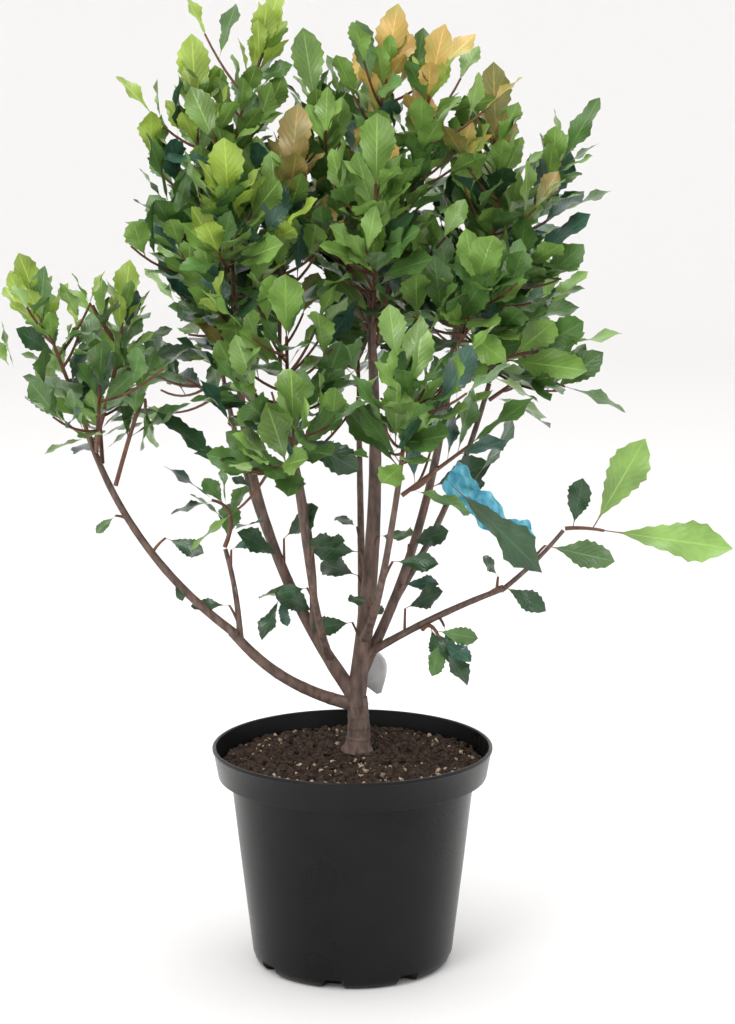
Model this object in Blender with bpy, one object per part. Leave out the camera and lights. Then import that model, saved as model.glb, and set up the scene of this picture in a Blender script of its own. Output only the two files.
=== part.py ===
# Potted photinia: a young bushy shrub in a black nursery pot.
# Metres, +Z up. The origin is the centre of the pot's flat underside.
# The shrub is seen from -Y in the picture it was sized from.

import math
import random

import bmesh
import bpy
import numpy as np

# driving sizes of the pot
POT_HEIGHT = 0.150
RIM_RADIUS = 0.095
BAND_HEIGHT = 0.0205
BAND_LOW_RADIUS = 0.0912
BODY_TOP_RADIUS = 0.0825
FOOT_RADIUS = 0.0625
FOOT_BULGE_RADIUS = 0.0685
FOOT_BULGE_HEIGHT = 0.007
WALL = 0.0018
FLOOR = 0.009
NOTCH_COUNT = 8
NOTCH_WIDTH = 0.013
NOTCH_HEIGHT = 0.006
NOTCH_DEPTH = 0.008
POT_SIDES = 48

# soil, heaped at the trunk and towards the front rim
SOIL_EDGE_HEIGHT = 0.1365
SOIL_MOUND = 0.0085
SOIL_FRONT_RISE = 0.007
GAP = 0.0003

# trunk and growth
TRUNK_FOOT = (0.0037, 0.0, SOIL_EDGE_HEIGHT + SOIL_MOUND + GAP)
TRUNK_TOP = (0.003, 0.0, 0.183)
LIMB_SIDES = 8
FLARE = 0.45
GOLDEN_ANGLE = math.radians(137.5)
LEAF_SPACING = 0.0078
LEAF_WIDTH_SHARE = 0.47
LEAF_THICKNESS_SHARE = 0.022
LEAF_WIDEST = 0.58
TWIG_LENGTH = 0.055
TWIG_SPACING = 0.030
STEM_RADIUS = 0.0016
TWIG_RADIUS = 0.0011
STEM_ROWS = [0, 10, 20, 30, 40]
STEM_RADII = np.linspace(STEM_RADIUS, TWIG_RADIUS, 5)
SPACE_GAP = 0.0010
LIMB_CLEARANCE = 0.0034
TAPE_CLEARANCE = 0.012

# limbs: parent, share along the parent where it starts, tip, bow of its middle, first and last radius
LIMBS = {
    "trunk": (None, 0.0, TRUNK_TOP, (0.0008, 0.0, 0.0), 0.0078, 0.0068),
    "leader": ("trunk", 1.0, (0.012, 0.018, 0.440), (0.007, -0.006, 0.0), 0.0064, 0.0026),
    "bough_left_low": ("trunk", 0.84, (-0.080, -0.015, 0.2315), (-0.004, 0.0, -0.008), 0.0042, 0.0032),
    "bough_left_outer": ("bough_left_low", 1.0, (-0.176, 0.0, 0.365), (-0.0105, 0.0, -0.0075), 0.0030, 0.0019),
    "bough_left_inner": ("bough_left_low", 0.93, (-0.085, 0.0, 0.285), (0.002, 0.0, 0.0), 0.0021, 0.0015),
    "bough_tower": ("trunk", 0.97, (-0.075, 0.004, 0.430), (-0.021, 0.0, -0.0065), 0.0044, 0.0022),
    "bough_mid_left": ("bough_tower", 0.20, (-0.045, -0.032, 0.380), (0.006, -0.004, 0.0), 0.0027, 0.0018),
    "bough_centre_right": ("leader", 0.06, (0.070, 0.026, 0.440), (0.010, 0.0, -0.012), 0.0036, 0.0020),
    "bough_right_low": ("leader", 0.09, (0.100, -0.020, 0.262), (0.0, 0.0, 0.003), 0.0027, 0.0018),
    "bough_right_end": ("bough_right_low", 1.0, (0.140, -0.015, 0.3005), (0.001, 0.0, -0.001), 0.0017, 0.0013),
    "bough_front": ("leader", 0.16, (0.030, -0.085, 0.345), (0.0, -0.014, -0.012), 0.0030, 0.0018),
    "bough_front_left": ("bough_tower", 0.12, (-0.035, -0.085, 0.350), (0.0, -0.014, -0.010), 0.0027, 0.0018),
    "bough_back": ("leader", 0.13, (0.004, 0.095, 0.375), (0.0, 0.014, -0.012), 0.0030, 0.0018),
    "bough_back_left": ("bough_tower", 0.30, (-0.090, 0.095, 0.385), (-0.004, 0.012, -0.010), 0.0024, 0.0017),
    "bough_back_right": ("bough_centre_right", 0.25, (0.095, 0.090, 0.385), (0.004, 0.010, -0.010), 0.0024, 0.0017),
}

# masses of leaves: limb, how far below its tip the stem starts, leaf tip it reaches, leaf length, reach,
# then the bow of the stem's middle and the share of twigs it carries
MASSES = {
    "leaves_left_far": ("bough_left_outer", 0.0, (-0.218, -0.004, 0.483), 0.040, 0.048, (0, 0, 0), 1.0),
    "leaves_left_top": ("bough_left_outer", 0.008, (-0.146, 0.006, 0.478), 0.040, 0.046, (0.004, 0, 0.006), 1.0),
    "leaves_left_front": ("bough_left_outer", 0.016, (-0.158, -0.062, 0.432), 0.040, 0.044, (0, 0, 0), 0.6),
    "leaves_left_back": ("bough_left_outer", 0.024, (-0.178, 0.066, 0.438), 0.040, 0.046, (0, 0, 0), 0.8),
    "leaves_left_hook": ("bough_left_outer", 0.042, (-0.096, -0.012, 0.352), 0.050, 0.030, (0.006, 0, 0.026), 0.0),
    "leaves_left_arch": ("bough_left_inner", 0.0, (-0.126, -0.002, 0.342), 0.040, 0.034, (0.008, 0, 0.006), 0.0),
    "leaves_tower_top": ("bough_tower", 0.0, (-0.044, 0.002, 0.657), 0.048, 0.046, (-0.016, 0, 0), 0.9),
    "leaves_tower_peak": ("bough_tower", 0.010, (-0.104, 0.010, 0.624), 0.046, 0.044, (-0.006, 0, 0), 0.8),
    "leaves_tower_left": ("bough_tower", 0.020, (-0.131, -0.034, 0.562), 0.048, 0.046, (-0.006, 0, 0.004), 0.8),
    "leaves_tower_low": ("bough_tower", 0.030, (-0.128, 0.014, 0.478), 0.048, 0.046, (0, 0, 0.008), 0.8),
    "leaves_tower_front": ("bough_tower", 0.014, (-0.078, -0.088, 0.560), 0.050, 0.050, (0, 0, 0), 1.0),
    "leaves_tower_back": ("bough_tower", 0.024, (-0.085, 0.096, 0.560), 0.050, 0.052, (0, 0, 0), 1.0),
    "leaves_mid_up": ("bough_mid_left", 0.0, (-0.034, -0.022, 0.580), 0.050, 0.044, (-0.004, 0, 0), 0.9),
    "leaves_mid_front": ("bough_mid_left", 0.010, (-0.040, -0.112, 0.478), 0.052, 0.048, (0, 0, 0), 1.0),
    "leaves_mid_side": ("bough_mid_left", 0.020, (-0.112, -0.050, 0.432), 0.052, 0.044, (0, 0, 0.006), 0.8),
    "leaves_centre_top": ("leader", 0.0, (0.030, 0.004, 0.643), 0.046, 0.046, (-0.006, 0, 0), 1.0),
    "leaves_centre_left": ("leader", 0.010, (-0.032, 0.022, 0.628), 0.046, 0.044, (-0.004, 0, 0), 0.9),
    "leaves_centre_right": ("leader", 0.020, (0.060, -0.012, 0.630), 0.046, 0.044, (0, 0, 0), 0.9),
    "leaves_centre_front": ("leader", 0.030, (0.016, -0.086, 0.575), 0.052, 0.050, (0, 0, 0), 1.0),
    "leaves_centre_back": ("leader", 0.040, (0.014, 0.104, 0.596), 0.052, 0.054, (0, 0, 0), 1.0),
    "leaves_right_top": ("bough_centre_right", 0.0, (0.092, 0.006, 0.606), 0.050, 0.044, (0.012, 0, 0), 0.9),
    "leaves_right_tip": ("bough_centre_right", 0.010, (0.162, 0.012, 0.583), 0.048, 0.044, (0.004, 0, 0.006), 0.8),
    "leaves_right_side": ("bough_centre_right", 0.020, (0.156, 0.000, 0.508), 0.056, 0.044, (0, 0, 0.006), 0.8),
    "leaves_right_arm": ("bough_centre_right", 0.046, (0.178, -0.010, 0.431), 0.058, 0.044, (0, 0, 0.004), 0.8),
    "leaves_right_front": ("bough_centre_right", 0.034, (0.088, -0.088, 0.500), 0.054, 0.050, (0, 0, 0), 1.0),
    "leaves_right_back": ("bough_centre_right", 0.030, (0.108, 0.104, 0.530), 0.052, 0.052, (0, 0, 0), 1.0),
    "leaves_front_up": ("bough_front", 0.0, (0.042, -0.140, 0.456), 0.054, 0.050, (0, 0, 0), 1.0),
    "leaves_front_right": ("bough_front", 0.010, (0.116, -0.078, 0.398), 0.052, 0.044, (0, 0, 0), 0.8),
    "leaves_front_left": ("bough_front_left", 0.0, (-0.036, -0.146, 0.424), 0.052, 0.048, (0, 0, 0), 0.9),
    "leaves_front_side": ("bough_front_left", 0.010, (-0.098, -0.106, 0.366), 0.050, 0.042, (0, 0, 0.006), 0.7),
    "leaves_back_up": ("bough_back", 0.0, (0.002, 0.150, 0.486), 0.052, 0.054, (0, 0, 0), 1.0),
    "leaves_back_left": ("bough_back_left", 0.0, (-0.108, 0.148, 0.482), 0.052, 0.054, (0, 0, 0), 1.0),
    "leaves_back_side": ("bough_back_left", 0.012, (-0.160, 0.108, 0.410), 0.050, 0.048, (0, 0, 0), 0.8),
    "leaves_back_right": ("bough_back_right", 0.0, (0.112, 0.150, 0.480), 0.052, 0.054, (0, 0, 0), 1.0),
    "leaves_back_far": ("bough_back_right", 0.012, (0.162, 0.098, 0.420), 0.050, 0.048, (0, 0, 0), 0.8),
    "leaves_right_end": ("bough_right_end", 0.0, (0.252, -0.020, 0.289), 0.086, 0.030, (0, 0, 0.001), 0.0),
    "leaves_right_low": ("bough_right_low", 0.062, (0.076, -0.040, 0.201), 0.036, 0.030, (0, 0, 0.006), 0.0),
    "leaves_left_hang": ("bough_tower", 0.180, (-0.060, -0.024, 0.228), 0.032, 0.026, (0, 0, 0.004), 0.0),
}

# single leaves set by hand on a mass: mass, share along its stem, leaf tip
SET_LEAVES = (
    ("leaves_right_end", 0.70, (0.193, -0.015, 0.362)),
    ("leaves_right_end", 0.20, (0.151, -0.030, 0.338)),
    ("leaves_right_arm", 0.55, (0.153, -0.026, 0.408)),
    ("leaves_right_tip", 0.62, (0.144, 0.034, 0.550)),
    ("leaves_left_far", 0.60, (-0.220, -0.010, 0.434)),
    ("leaves_tower_top", 0.90, (-0.038, 0.000, 0.604)),
)

COLOURS = {
    "pot": ((0.012, 0.013, 0.014), 0.34),
    "soil": ((0.040, 0.020, 0.010), 0.95),
    "bark": ((0.090, 0.055, 0.042), 0.80),
    "leaf": ((0.055, 0.130, 0.035), 0.42),
    "label": ((0.620, 0.630, 0.620), 0.35),
    "tape": ((0.100, 0.530, 0.700), 0.35),
}


def vec(values):
    return np.array(values, dtype=float)


def unit(values):
    return values / max(np.linalg.norm(values), 1e-12)


def arc(start, end, bow, count):
    # a curve whose middle stands off the straight line by the bow
    start, end = vec(start), vec(end)
    middle = (start + end) / 2 + 2 * vec(bow)
    t = np.linspace(0.0, 1.0, count)[:, None]
    return (1 - t) ** 2 * start + 2 * t * (1 - t) * middle + t ** 2 * end


def material(kind):
    found = bpy.data.materials.get(kind)
    if found:
        return found
    colour, roughness = COLOURS[kind]
    made = bpy.data.materials.new(kind)
    made.use_nodes = True
    shader = made.node_tree.nodes["Principled BSDF"]
    shader.inputs["Base Color"].default_value = (*colour, 1.0)
    shader.inputs["Roughness"].default_value = roughness
    shader.inputs["Metallic"].default_value = 0.0
    return made


def add_object(name, points, faces, kind):
    mesh = bpy.data.meshes.new(name)
    mesh.from_pydata([tuple(p) for p in points], [], faces)
    tidy = bmesh.new()
    tidy.from_mesh(mesh)
    bmesh.ops.recalc_face_normals(tidy, faces=tidy.faces)
    tidy.to_mesh(mesh)
    tidy.free()
    mesh.materials.append(material(kind))
    made = bpy.data.objects.new(name, mesh)
    bpy.context.scene.collection.objects.link(made)
    return made


def turned(name, profile, sides, kind, lift=None):
    # profile of (radius, height) from the axis, round the outside and back to the axis
    points, rows = [], []
    for radius, height in profile:
        if radius < 1e-6:
            rows.append([len(points)])
            points.append((0.0, 0.0, height + (lift(0.0, 0.0, height) if lift else 0.0)))
            continue
        row = []
        for k in range(sides):
            angle = 2 * math.pi * k / sides
            x, y = radius * math.cos(angle), radius * math.sin(angle)
            row.append(len(points))
            points.append((x, y, height + (lift(x, y, height) if lift else 0.0)))
        rows.append(row)
    faces = []
    for low, high in zip(rows, rows[1:]):
        for k in range(sides):
            n = (k + 1) % sides
            if len(low) == 1:
                faces.append((low[0], high[k], high[n]))
            elif len(high) == 1:
                faces.append((low[k], high[0], low[n]))
            else:
                faces.append((low[k], high[k], high[n], low[n]))
    return add_object(name, points, faces, kind)


def tube(path, radii, sides):
    # a closed tube along a path, its ring carried without twist
    path = np.asarray(path)
    along = np.gradient(path, axis=0)
    side = unit(np.cross(along[0], (0.31, 0.87, 0.38)))
    points, faces = [], []
    for i, (centre, direction, radius) in enumerate(zip(path, along, radii)):
        direction = unit(direction)
        side = unit(side - direction * (side @ direction))
        other = np.cross(direction, side)
        for k in range(sides):
            angle = 2 * math.pi * k / sides
            points.append(centre + radius * (math.cos(angle) * side + math.sin(angle) * other))
        if i:
            for k in range(sides):
                n = (k + 1) % sides
                a, b = (i - 1) * sides, i * sides
                faces.append((a + k, a + n, b + n, b + k))
    faces.append(tuple(reversed(range(sides))))
    faces.append(tuple(range(len(points) - sides, len(points))))
    return points, faces


def combine(target, others, operation):
    # one Boolean on a collection, applied, with the collection's objects then removed
    group = bpy.data.collections.new("group")
    bpy.context.scene.collection.children.link(group)
    for other in others:
        bpy.context.scene.collection.objects.unlink(other)
        group.objects.link(other)
    change = target.modifiers.new("join", "BOOLEAN")
    change.operation = operation
    change.operand_type = "COLLECTION"
    change.collection = group
    for solver in ("EXACT", "MANIFOLD"):
        change.solver = solver
        bpy.context.view_layer.update()
        graph = bpy.context.evaluated_depsgraph_get()
        mesh = bpy.data.meshes.new_from_object(target.evaluated_get(graph))
        if clean(mesh):
            break
    else:
        print("left open", target.name)
    target.modifiers.clear()
    mesh.name = target.name
    target.data = mesh
    for other in others:
        bpy.data.objects.remove(other)
    bpy.data.collections.remove(group)


def islands(work):
    # the separate bodies of a mesh, smallest first
    left = set(work.faces)
    groups = []
    while left:
        stack, group = [left.pop()], []
        while stack:
            face = stack.pop()
            group.append(face)
            for edge in face.edges:
                for other in edge.link_faces:
                    if other in left:
                        left.remove(other)
                        stack.append(other)
        groups.append(group)
    return sorted(groups, key=len)


def clean(mesh):
    # joins doubled points, drops scraps apart from the main body, and says whether it is closed
    work = bmesh.new()
    work.from_mesh(mesh)
    bmesh.ops.remove_doubles(work, verts=work.verts, dist=1e-7)
    bmesh.ops.triangulate(work, faces=work.faces)
    for group in islands(work)[:-1]:
        bmesh.ops.delete(work, geom=group, context="FACES")
    loose = [vertex for vertex in work.verts if not vertex.link_faces]
    bmesh.ops.delete(work, geom=loose, context="VERTS")
    closed = all(len(edge.link_faces) == 2 for edge in work.edges)
    work.to_mesh(mesh)
    work.free()
    return closed


def soil_lift(x, y, height):
    # the top of the soil is heaped at the trunk and towards the front
    if height < SOIL_EDGE_HEIGHT - 1e-6:
        return 0.0
    share = min(math.hypot(x, y) / (BODY_TOP_RADIUS - WALL), 1.0)
    front = max(-y, 0.0) / RIM_RADIUS
    rough = 0.0009 * math.sin(310 * x + 1.3) * math.cos(270 * y) * share * (1 - share) * 4
    return SOIL_MOUND * (1 - share) ** 1.0 + SOIL_FRONT_RISE * front * share + rough


def make_pot():
    inner_top = RIM_RADIUS - WALL
    shelf = POT_HEIGHT - BAND_HEIGHT
    profile = (
        (0.0, 0.0), (FOOT_RADIUS, 0.0), (FOOT_RADIUS + 0.0042, 0.0022), (FOOT_BULGE_RADIUS, FOOT_BULGE_HEIGHT),
        (BODY_TOP_RADIUS, shelf - 0.002), (BAND_LOW_RADIUS - 0.001, shelf), (BAND_LOW_RADIUS, shelf + 0.001),
        (RIM_RADIUS - 0.0006, POT_HEIGHT - 0.001), (RIM_RADIUS - 0.0012, POT_HEIGHT), (inner_top, POT_HEIGHT),
        (BAND_LOW_RADIUS - WALL, shelf + WALL + 0.001), (BODY_TOP_RADIUS - WALL, shelf - 0.001),
        (FOOT_BULGE_RADIUS - WALL, FLOOR), (0.0, FLOOR),
    )
    pot = turned("pot", profile, POT_SIDES, "pot")
    cutters = []
    for k in range(NOTCH_COUNT):
        bpy.ops.mesh.primitive_cube_add(size=1.0)
        cutter = bpy.context.object
        angle = 2 * math.pi * (k + 0.5) / NOTCH_COUNT - math.radians(34)
        reach = FOOT_BULGE_RADIUS - NOTCH_DEPTH + 0.5 * 0.03
        cutter.scale = (0.03, NOTCH_WIDTH, NOTCH_HEIGHT * 2)
        cutter.rotation_euler = (0, 0, angle)
        cutter.location = (reach * math.cos(angle), reach * math.sin(angle), 0.0)
        cutter.hide_render = True
        for owner in cutter.users_collection:
            owner.objects.unlink(cutter)
        bpy.context.scene.collection.objects.link(cutter)
        cutters.append(cutter)
    combine(pot, cutters, "DIFFERENCE")
    for polygon in pot.data.polygons:
        polygon.use_smooth = True
    pot.data.set_sharp_from_angle(angle=math.radians(30))


def make_soil():
    side = BODY_TOP_RADIUS - WALL - 0.0009
    shelf = POT_HEIGHT - BAND_HEIGHT
    top = SOIL_EDGE_HEIGHT
    rim = RIM_RADIUS - WALL - 0.0035
    rows = [(0.0, FLOOR + GAP), (FOOT_BULGE_RADIUS - WALL - 0.0009, FLOOR + GAP), (side, shelf - 0.0012)]
    rows += [(BAND_LOW_RADIUS - WALL - 0.0022, shelf + 0.0042), (rim, top)]
    rows += [(rim * share, top) for share in (0.82, 0.62, 0.42, 0.24, 0.12)]
    rows.append((0.0, top))
    turned("soil", rows, 32, "soil", soil_lift)


def limb_path(name, count=9):
    parent, share, tip, bow, first, last = LIMBS[name]
    if parent is None:
        return arc(TRUNK_FOOT, tip, bow, count)
    above = limb_path(parent, 41)
    if share >= 1.0:
        ahead = unit(above[-1] - above[-2])
        first_way = unit(vec(tip) - above[-1] + 4 * vec(bow))
        slant = np.linalg.norm(np.cross(ahead, first_way))
        return arc(above[-1] + ahead * (GAP + first * slant * 1.05), tip, bow, count)
    return arc(above[int(round(share * 40))], tip, bow, count)


def limb_radii(name, count):
    first, last = LIMBS[name][4:6]
    t = np.linspace(0.0, 1.0, count)
    radii = first + (last - first) * t
    if name == "trunk":
        radii = radii * (1 + FLARE * np.exp(-t * 7))
    return radii


def near(path, radii, other_path, other_radii):
    away = np.linalg.norm(path[:, None] - other_path[None], axis=2)
    return (away - radii[:, None] - other_radii[None]).min() < 0.0015


def make_limbs():
    done = []
    for name in LIMBS:
        count = 7 if name != "trunk" else 6
        path, radii = limb_path(name, count), limb_radii(name, count)
        fine, fine_radii = limb_path(name, 60), limb_radii(name, 60)
        sides = LIMB_SIDES if name not in ("trunk", "leader") else LIMB_SIDES + 2
        points, faces = tube(path, radii, sides)
        if name == "trunk":
            points = [(p[0], p[1], TRUNK_FOOT[2]) if i < sides else tuple(p) for i, p in enumerate(points)]
        limb = add_object(name, points, faces, "bark")
        cutters = []
        for other, other_path, other_radii, other_sides, fine_path, fine_other in done:
            if near(fine, fine_radii, fine_path, fine_other):
                longer = other_path.copy()
                longer[0] -= unit(other_path[1] - other_path[0]) * GAP
                longer[-1] += unit(other_path[-1] - other_path[-2]) * GAP
                fat_points, fat_faces = tube(longer, other_radii + GAP * 1.3, other_sides)
                fat = add_object("fat_" + other, fat_points, fat_faces, "bark")
                cutters.append(fat)
        if LIMBS[name][1] >= 1.0:
            keep = LIMBS[name][0]
            for fat in [c for c in cutters if c.name == "fat_" + keep]:
                cutters.remove(fat)
                bpy.data.objects.remove(fat)
        if cutters:
            combine(limb, cutters, "DIFFERENCE")
        for polygon in limb.data.polygons:
            polygon.use_smooth = True
        limb.data.set_sharp_from_angle(angle=math.radians(50))
        done.append((name, path, radii, sides, fine, fine_radii))


def tape_path(count=9):
    # the tape is tied round the end of the low right bough and runs up to a crumpled knot
    start, end = (0.1190, -0.0300, 0.2960), (0.0640, -0.0420, 0.3440)
    path = arc(start, end, (-0.002, -0.004, -0.004), count)
    t = np.linspace(0.0, 1.0, count)
    path[:, 1] += 0.0022 * np.sin(t * 5 * math.pi)
    path[:, 2] += 0.0016 * np.sin(t * 4 * math.pi)
    return path


def stem_path(name, count=41):
    limb, back, tip, leaf, reach, bow, share = MASSES[name]
    path = limb_path(limb, 201)
    radii = limb_radii(limb, 201)
    run = np.concatenate([[0.0], np.cumsum(np.linalg.norm(np.diff(path, axis=0), axis=1))])
    spot = int(np.searchsorted(run, run[-1] - back)) if back else 200
    spot = min(spot, 200)
    ahead = unit(path[min(spot + 1, 200)] - path[max(spot - 1, 0)])
    tip = vec(tip)
    if back == 0.0:
        first_way = unit((tip - path[-1]) * (1 - leaf / np.linalg.norm(tip - path[-1])) + 4 * vec(bow))
        slant = np.linalg.norm(np.cross(ahead, first_way))
        start = path[-1] + ahead * (GAP + STEM_RADIUS * slant * 1.1)
    else:
        out = tip - path[spot]
        out = unit(out - ahead * (out @ ahead))
        start = path[spot] + out * (radii[spot] + GAP + STEM_RADIUS * 0.55)
    for attempt in range(3):
        straight = tip - start
        end = tip - unit(straight - 2.2 * vec(bow)) * leaf
        stem = arc(start, end, bow, count)
        if back == 0.0:
            break
        # slide the stem's foot out or in until it stands the plain gap off the limb
        corners = np.array(tube(stem[STEM_ROWS], STEM_RADII, 3)[0][:6])
        t = np.linspace(0.0, 1.0, 9)[:, None, None]
        edges = (corners[:3] * (1 - t) + corners[3:] * t).reshape(-1, 3)
        away = np.linalg.norm(edges[:, None] - path[None], axis=2) - radii[None]
        start = start + out * (1.2 * GAP - away.min())
    return stem


def leaf_samples(leaf):
    base, ahead, up, length, width = leaf
    side = np.cross(ahead, up)
    points = []
    for share in (0.2, 0.34, 0.48, 0.62, 0.76, 0.9, 1.0):
        spread = share / LEAF_WIDEST if share < LEAF_WIDEST else (1 - share) / (1 - LEAF_WIDEST)
        for across in (-1.0, -0.5, 0.0, 0.5, 1.0):
            points.append(base + ahead * (share * length) + side * (across * spread * width / 2))
    return np.array(points)


class Spaces:
    # each mass owns the points that are nearer to its own stem than to any other
    def __init__(self):
        self.stems = {name: stem_path(name) for name in MASSES}
        limb_points, limb_radii_all = [], []
        for name in LIMBS:
            limb_points.append(limb_path(name, 90))
            limb_radii_all.append(limb_radii(name, 90) + LIMB_CLEARANCE)
        limb_points.append(tape_path(40))
        limb_radii_all.append(np.full(40, TAPE_CLEARANCE))
        self.limb_points = np.concatenate(limb_points)
        self.limb_radii = np.concatenate(limb_radii_all)

    def away(self, points, name):
        return np.linalg.norm(points[:, None] - self.stems[name][None], axis=2).min(axis=1)

    def holds(self, name, points, reach, limbs_too=True):
        own = self.away(points, name)
        if own.max() > reach:
            return False
        for other in self.stems:
            if other != name and (self.away(points, other) < own + SPACE_GAP).any():
                return False
        if limbs_too:
            gaps = np.linalg.norm(points[:, None] - self.limb_points[None], axis=2) - self.limb_radii
            if gaps.min() < 0:
                return False
        return points[:, 2].min() > POT_HEIGHT + 0.012


def axis_leaves(rng, path, leaf_length, first_share):
    # leaves in a spiral along a shoot, wide apart below and closing to the tip
    run = np.concatenate([[0.0], np.cumsum(np.linalg.norm(np.diff(path, axis=0), axis=1))])
    turn = rng.random() * 2 * math.pi
    at = run[-1] * first_share
    while at < run[-1] * 0.97:
        spot = min(int(np.searchsorted(run, at)), len(path) - 2)
        axis = unit(path[spot + 1] - path[spot])
        share = at / run[-1]
        side = unit(np.cross(axis, (0.2, 0.1, 1.0) if abs(axis[2]) < 0.9 else (1.0, 0.2, 0.0)))
        other = np.cross(axis, side)
        radial = math.cos(turn) * side + math.sin(turn) * other
        open_angle = math.radians(68 - 34 * share + rng.uniform(-9, 9))
        ahead = unit(math.cos(open_angle) * axis + math.sin(open_angle) * radial + np.array([0, 0, 0.08]))
        up = axis * 0.7 + np.array([0, 0, 0.5]) + 0.25 * np.array([rng.uniform(-1, 1) for _ in range(3)])
        up = unit(up - ahead * (up @ ahead))
        length = leaf_length * (1.0 - 0.30 * share + rng.uniform(-0.12, 0.12))
        yield (path[spot], ahead, up, length, length * LEAF_WIDTH_SHARE)
        turn += GOLDEN_ANGLE
        at += LEAF_SPACING * rng.uniform(0.85, 1.2)


def grow(name, spaces):
    # one stem, side twigs at seeded places, leaves in a spiral on each, and one leaf at the stem's end
    limb, back, tip, leaf_length, reach, bow, twig_share = MASSES[name]
    rng = random.Random("photinia " + name)
    stem = spaces.stems[name]
    tip = vec(tip)
    length = np.linalg.norm(np.diff(stem, axis=0), axis=1).sum()
    end_base = stem[-3]
    end_ahead = unit(tip - end_base)
    end_up = np.array([0.0, -0.35, 1.0])
    end_up = unit(end_up - end_ahead * (end_up @ end_ahead))
    end_length = np.linalg.norm(tip - end_base)
    leaves = [(end_base, end_ahead, end_up, end_length, end_length * LEAF_WIDTH_SHARE * 0.92)]
    for owner, share, leaf_tip in SET_LEAVES:
        if owner == name:
            base = stem[int(share * 40)]
            ahead = vec(leaf_tip) - base
            up = np.array([0.0, -0.9, 0.6])
            up = unit(up - unit(ahead) * (up @ unit(ahead)))
            size = np.linalg.norm(ahead)
            leaves.append((base, unit(ahead), up, size, size * LEAF_WIDTH_SHARE))
    twigs = []
    turn = rng.random() * 2 * math.pi
    count = int(round(twig_share * length / TWIG_SPACING))
    for k in range(count):
        share = 0.22 + 0.62 * (k + 0.5) / count
        spot = int(share * 40)
        axis = unit(stem[spot + 1] - stem[spot])
        side = unit(np.cross(axis, (0.3, 0.9, 0.2)))
        other = np.cross(axis, side)
        radial = math.cos(turn) * side + math.sin(turn) * other
        turn += GOLDEN_ANGLE
        size = TWIG_LENGTH * (1.1 - 0.5 * share) * rng.uniform(0.8, 1.1)
        for attempt in range(2):
            out = unit(0.75 * axis + radial + np.array([0, 0, 0.25]))
            twig_end = stem[spot] + out * size
            twig = arc(stem[spot], twig_end, np.array([0, 0, -0.1 * size]), 13)
            if spaces.holds(name, twig[5:], reach):
                twigs.append(twig)
                break
            size *= 0.6
    for path, start in [(stem, 0.16)] + [(twig, 0.35) for twig in twigs]:
        for leaf in axis_leaves(rng, path, leaf_length, start):
            if spaces.holds(name, leaf_samples(leaf), reach):
                leaves.append(leaf)
    for twig in twigs:
        ahead = unit(twig[-1] - twig[-3])
        up = np.array([0.0, 0.0, 1.0]) + 0.4 * ahead
        up = unit(up - ahead * (up @ ahead))
        leaf = (twig[-2], ahead, up, leaf_length * 0.85, leaf_length * 0.85 * LEAF_WIDTH_SHARE)
        if spaces.holds(name, leaf_samples(leaf), reach):
            leaves.append(leaf)
    return stem, twigs, leaves


def leaf_solid(leaf):
    # eight faces: root, tip, two edges and a thickened midrib, with the edges a little raised
    base, ahead, up, length, width = leaf
    side = np.cross(ahead, up)
    root = base - ahead * 0.0006
    middle = base + ahead * (LEAF_WIDEST * length)
    thick = max(length * LEAF_THICKNESS_SHARE, 0.0009)
    edge_lift = up * (0.10 * width)
    points = [root, base + ahead * length, middle + side * width / 2 + edge_lift,
              middle - side * width / 2 + edge_lift, middle + up * thick / 2, middle - up * thick / 2]
    faces = [(0, 2, 4), (2, 1, 4), (1, 3, 4), (3, 0, 4), (2, 0, 5), (1, 2, 5), (3, 1, 5), (0, 3, 5)]
    return points, faces


def make_mass(name, spaces):
    stem, twigs, leaves = grow(name, spaces)
    points, faces = tube(stem[STEM_ROWS], STEM_RADII, 3)
    body = add_object(name, points, faces, "leaf")
    parts = []
    for twig in twigs:
        points, faces = tube(twig[[0, 6, 12]], np.linspace(TWIG_RADIUS, TWIG_RADIUS * 0.7, 3), 3)
        parts.append(add_object("twig", points, faces, "leaf"))
    for leaf in leaves:
        points, faces = leaf_solid(leaf)
        parts.append(add_object("leaf", points, faces, "leaf"))
    combine(body, parts, "UNION")
    return len(leaves)


def make_label():
    # a bare tag that hangs from the leader by its narrow top
    count = 7
    t = np.linspace(0.0, 1.0, count)
    top = limb_path("leader", 201)[24] + np.array([0.0010, 0.0074, 0.0])
    low = vec((0.0085, 0.0270, 0.1790))
    path = top + (low - top) * t[:, None]
    half = 0.0016 + 0.0098 * np.sin(math.pi * np.clip(t, 0.0, 0.93) ** 0.8)
    across = unit(vec((1.0, 0.25, 0.25)))
    normal = unit(np.cross(across, low - top))
    points, faces = [], []
    for centre, spread in zip(path, half):
        for a, b in ((-1, -1), (1, -1), (1, 1), (-1, 1)):
            points.append(centre + across * spread * a + normal * 0.0004 * b)
    for i in range(count - 1):
        for k in range(4):
            n = (k + 1) % 4
            faces.append((4 * i + k, 4 * i + n, 4 * i + 4 + n, 4 * i + 4 + k))
    faces.append((3, 2, 1, 0))
    faces.append(tuple(4 * (count - 1) + k for k in range(4)))
    add_object("plant_label", points, faces, "label")


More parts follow.
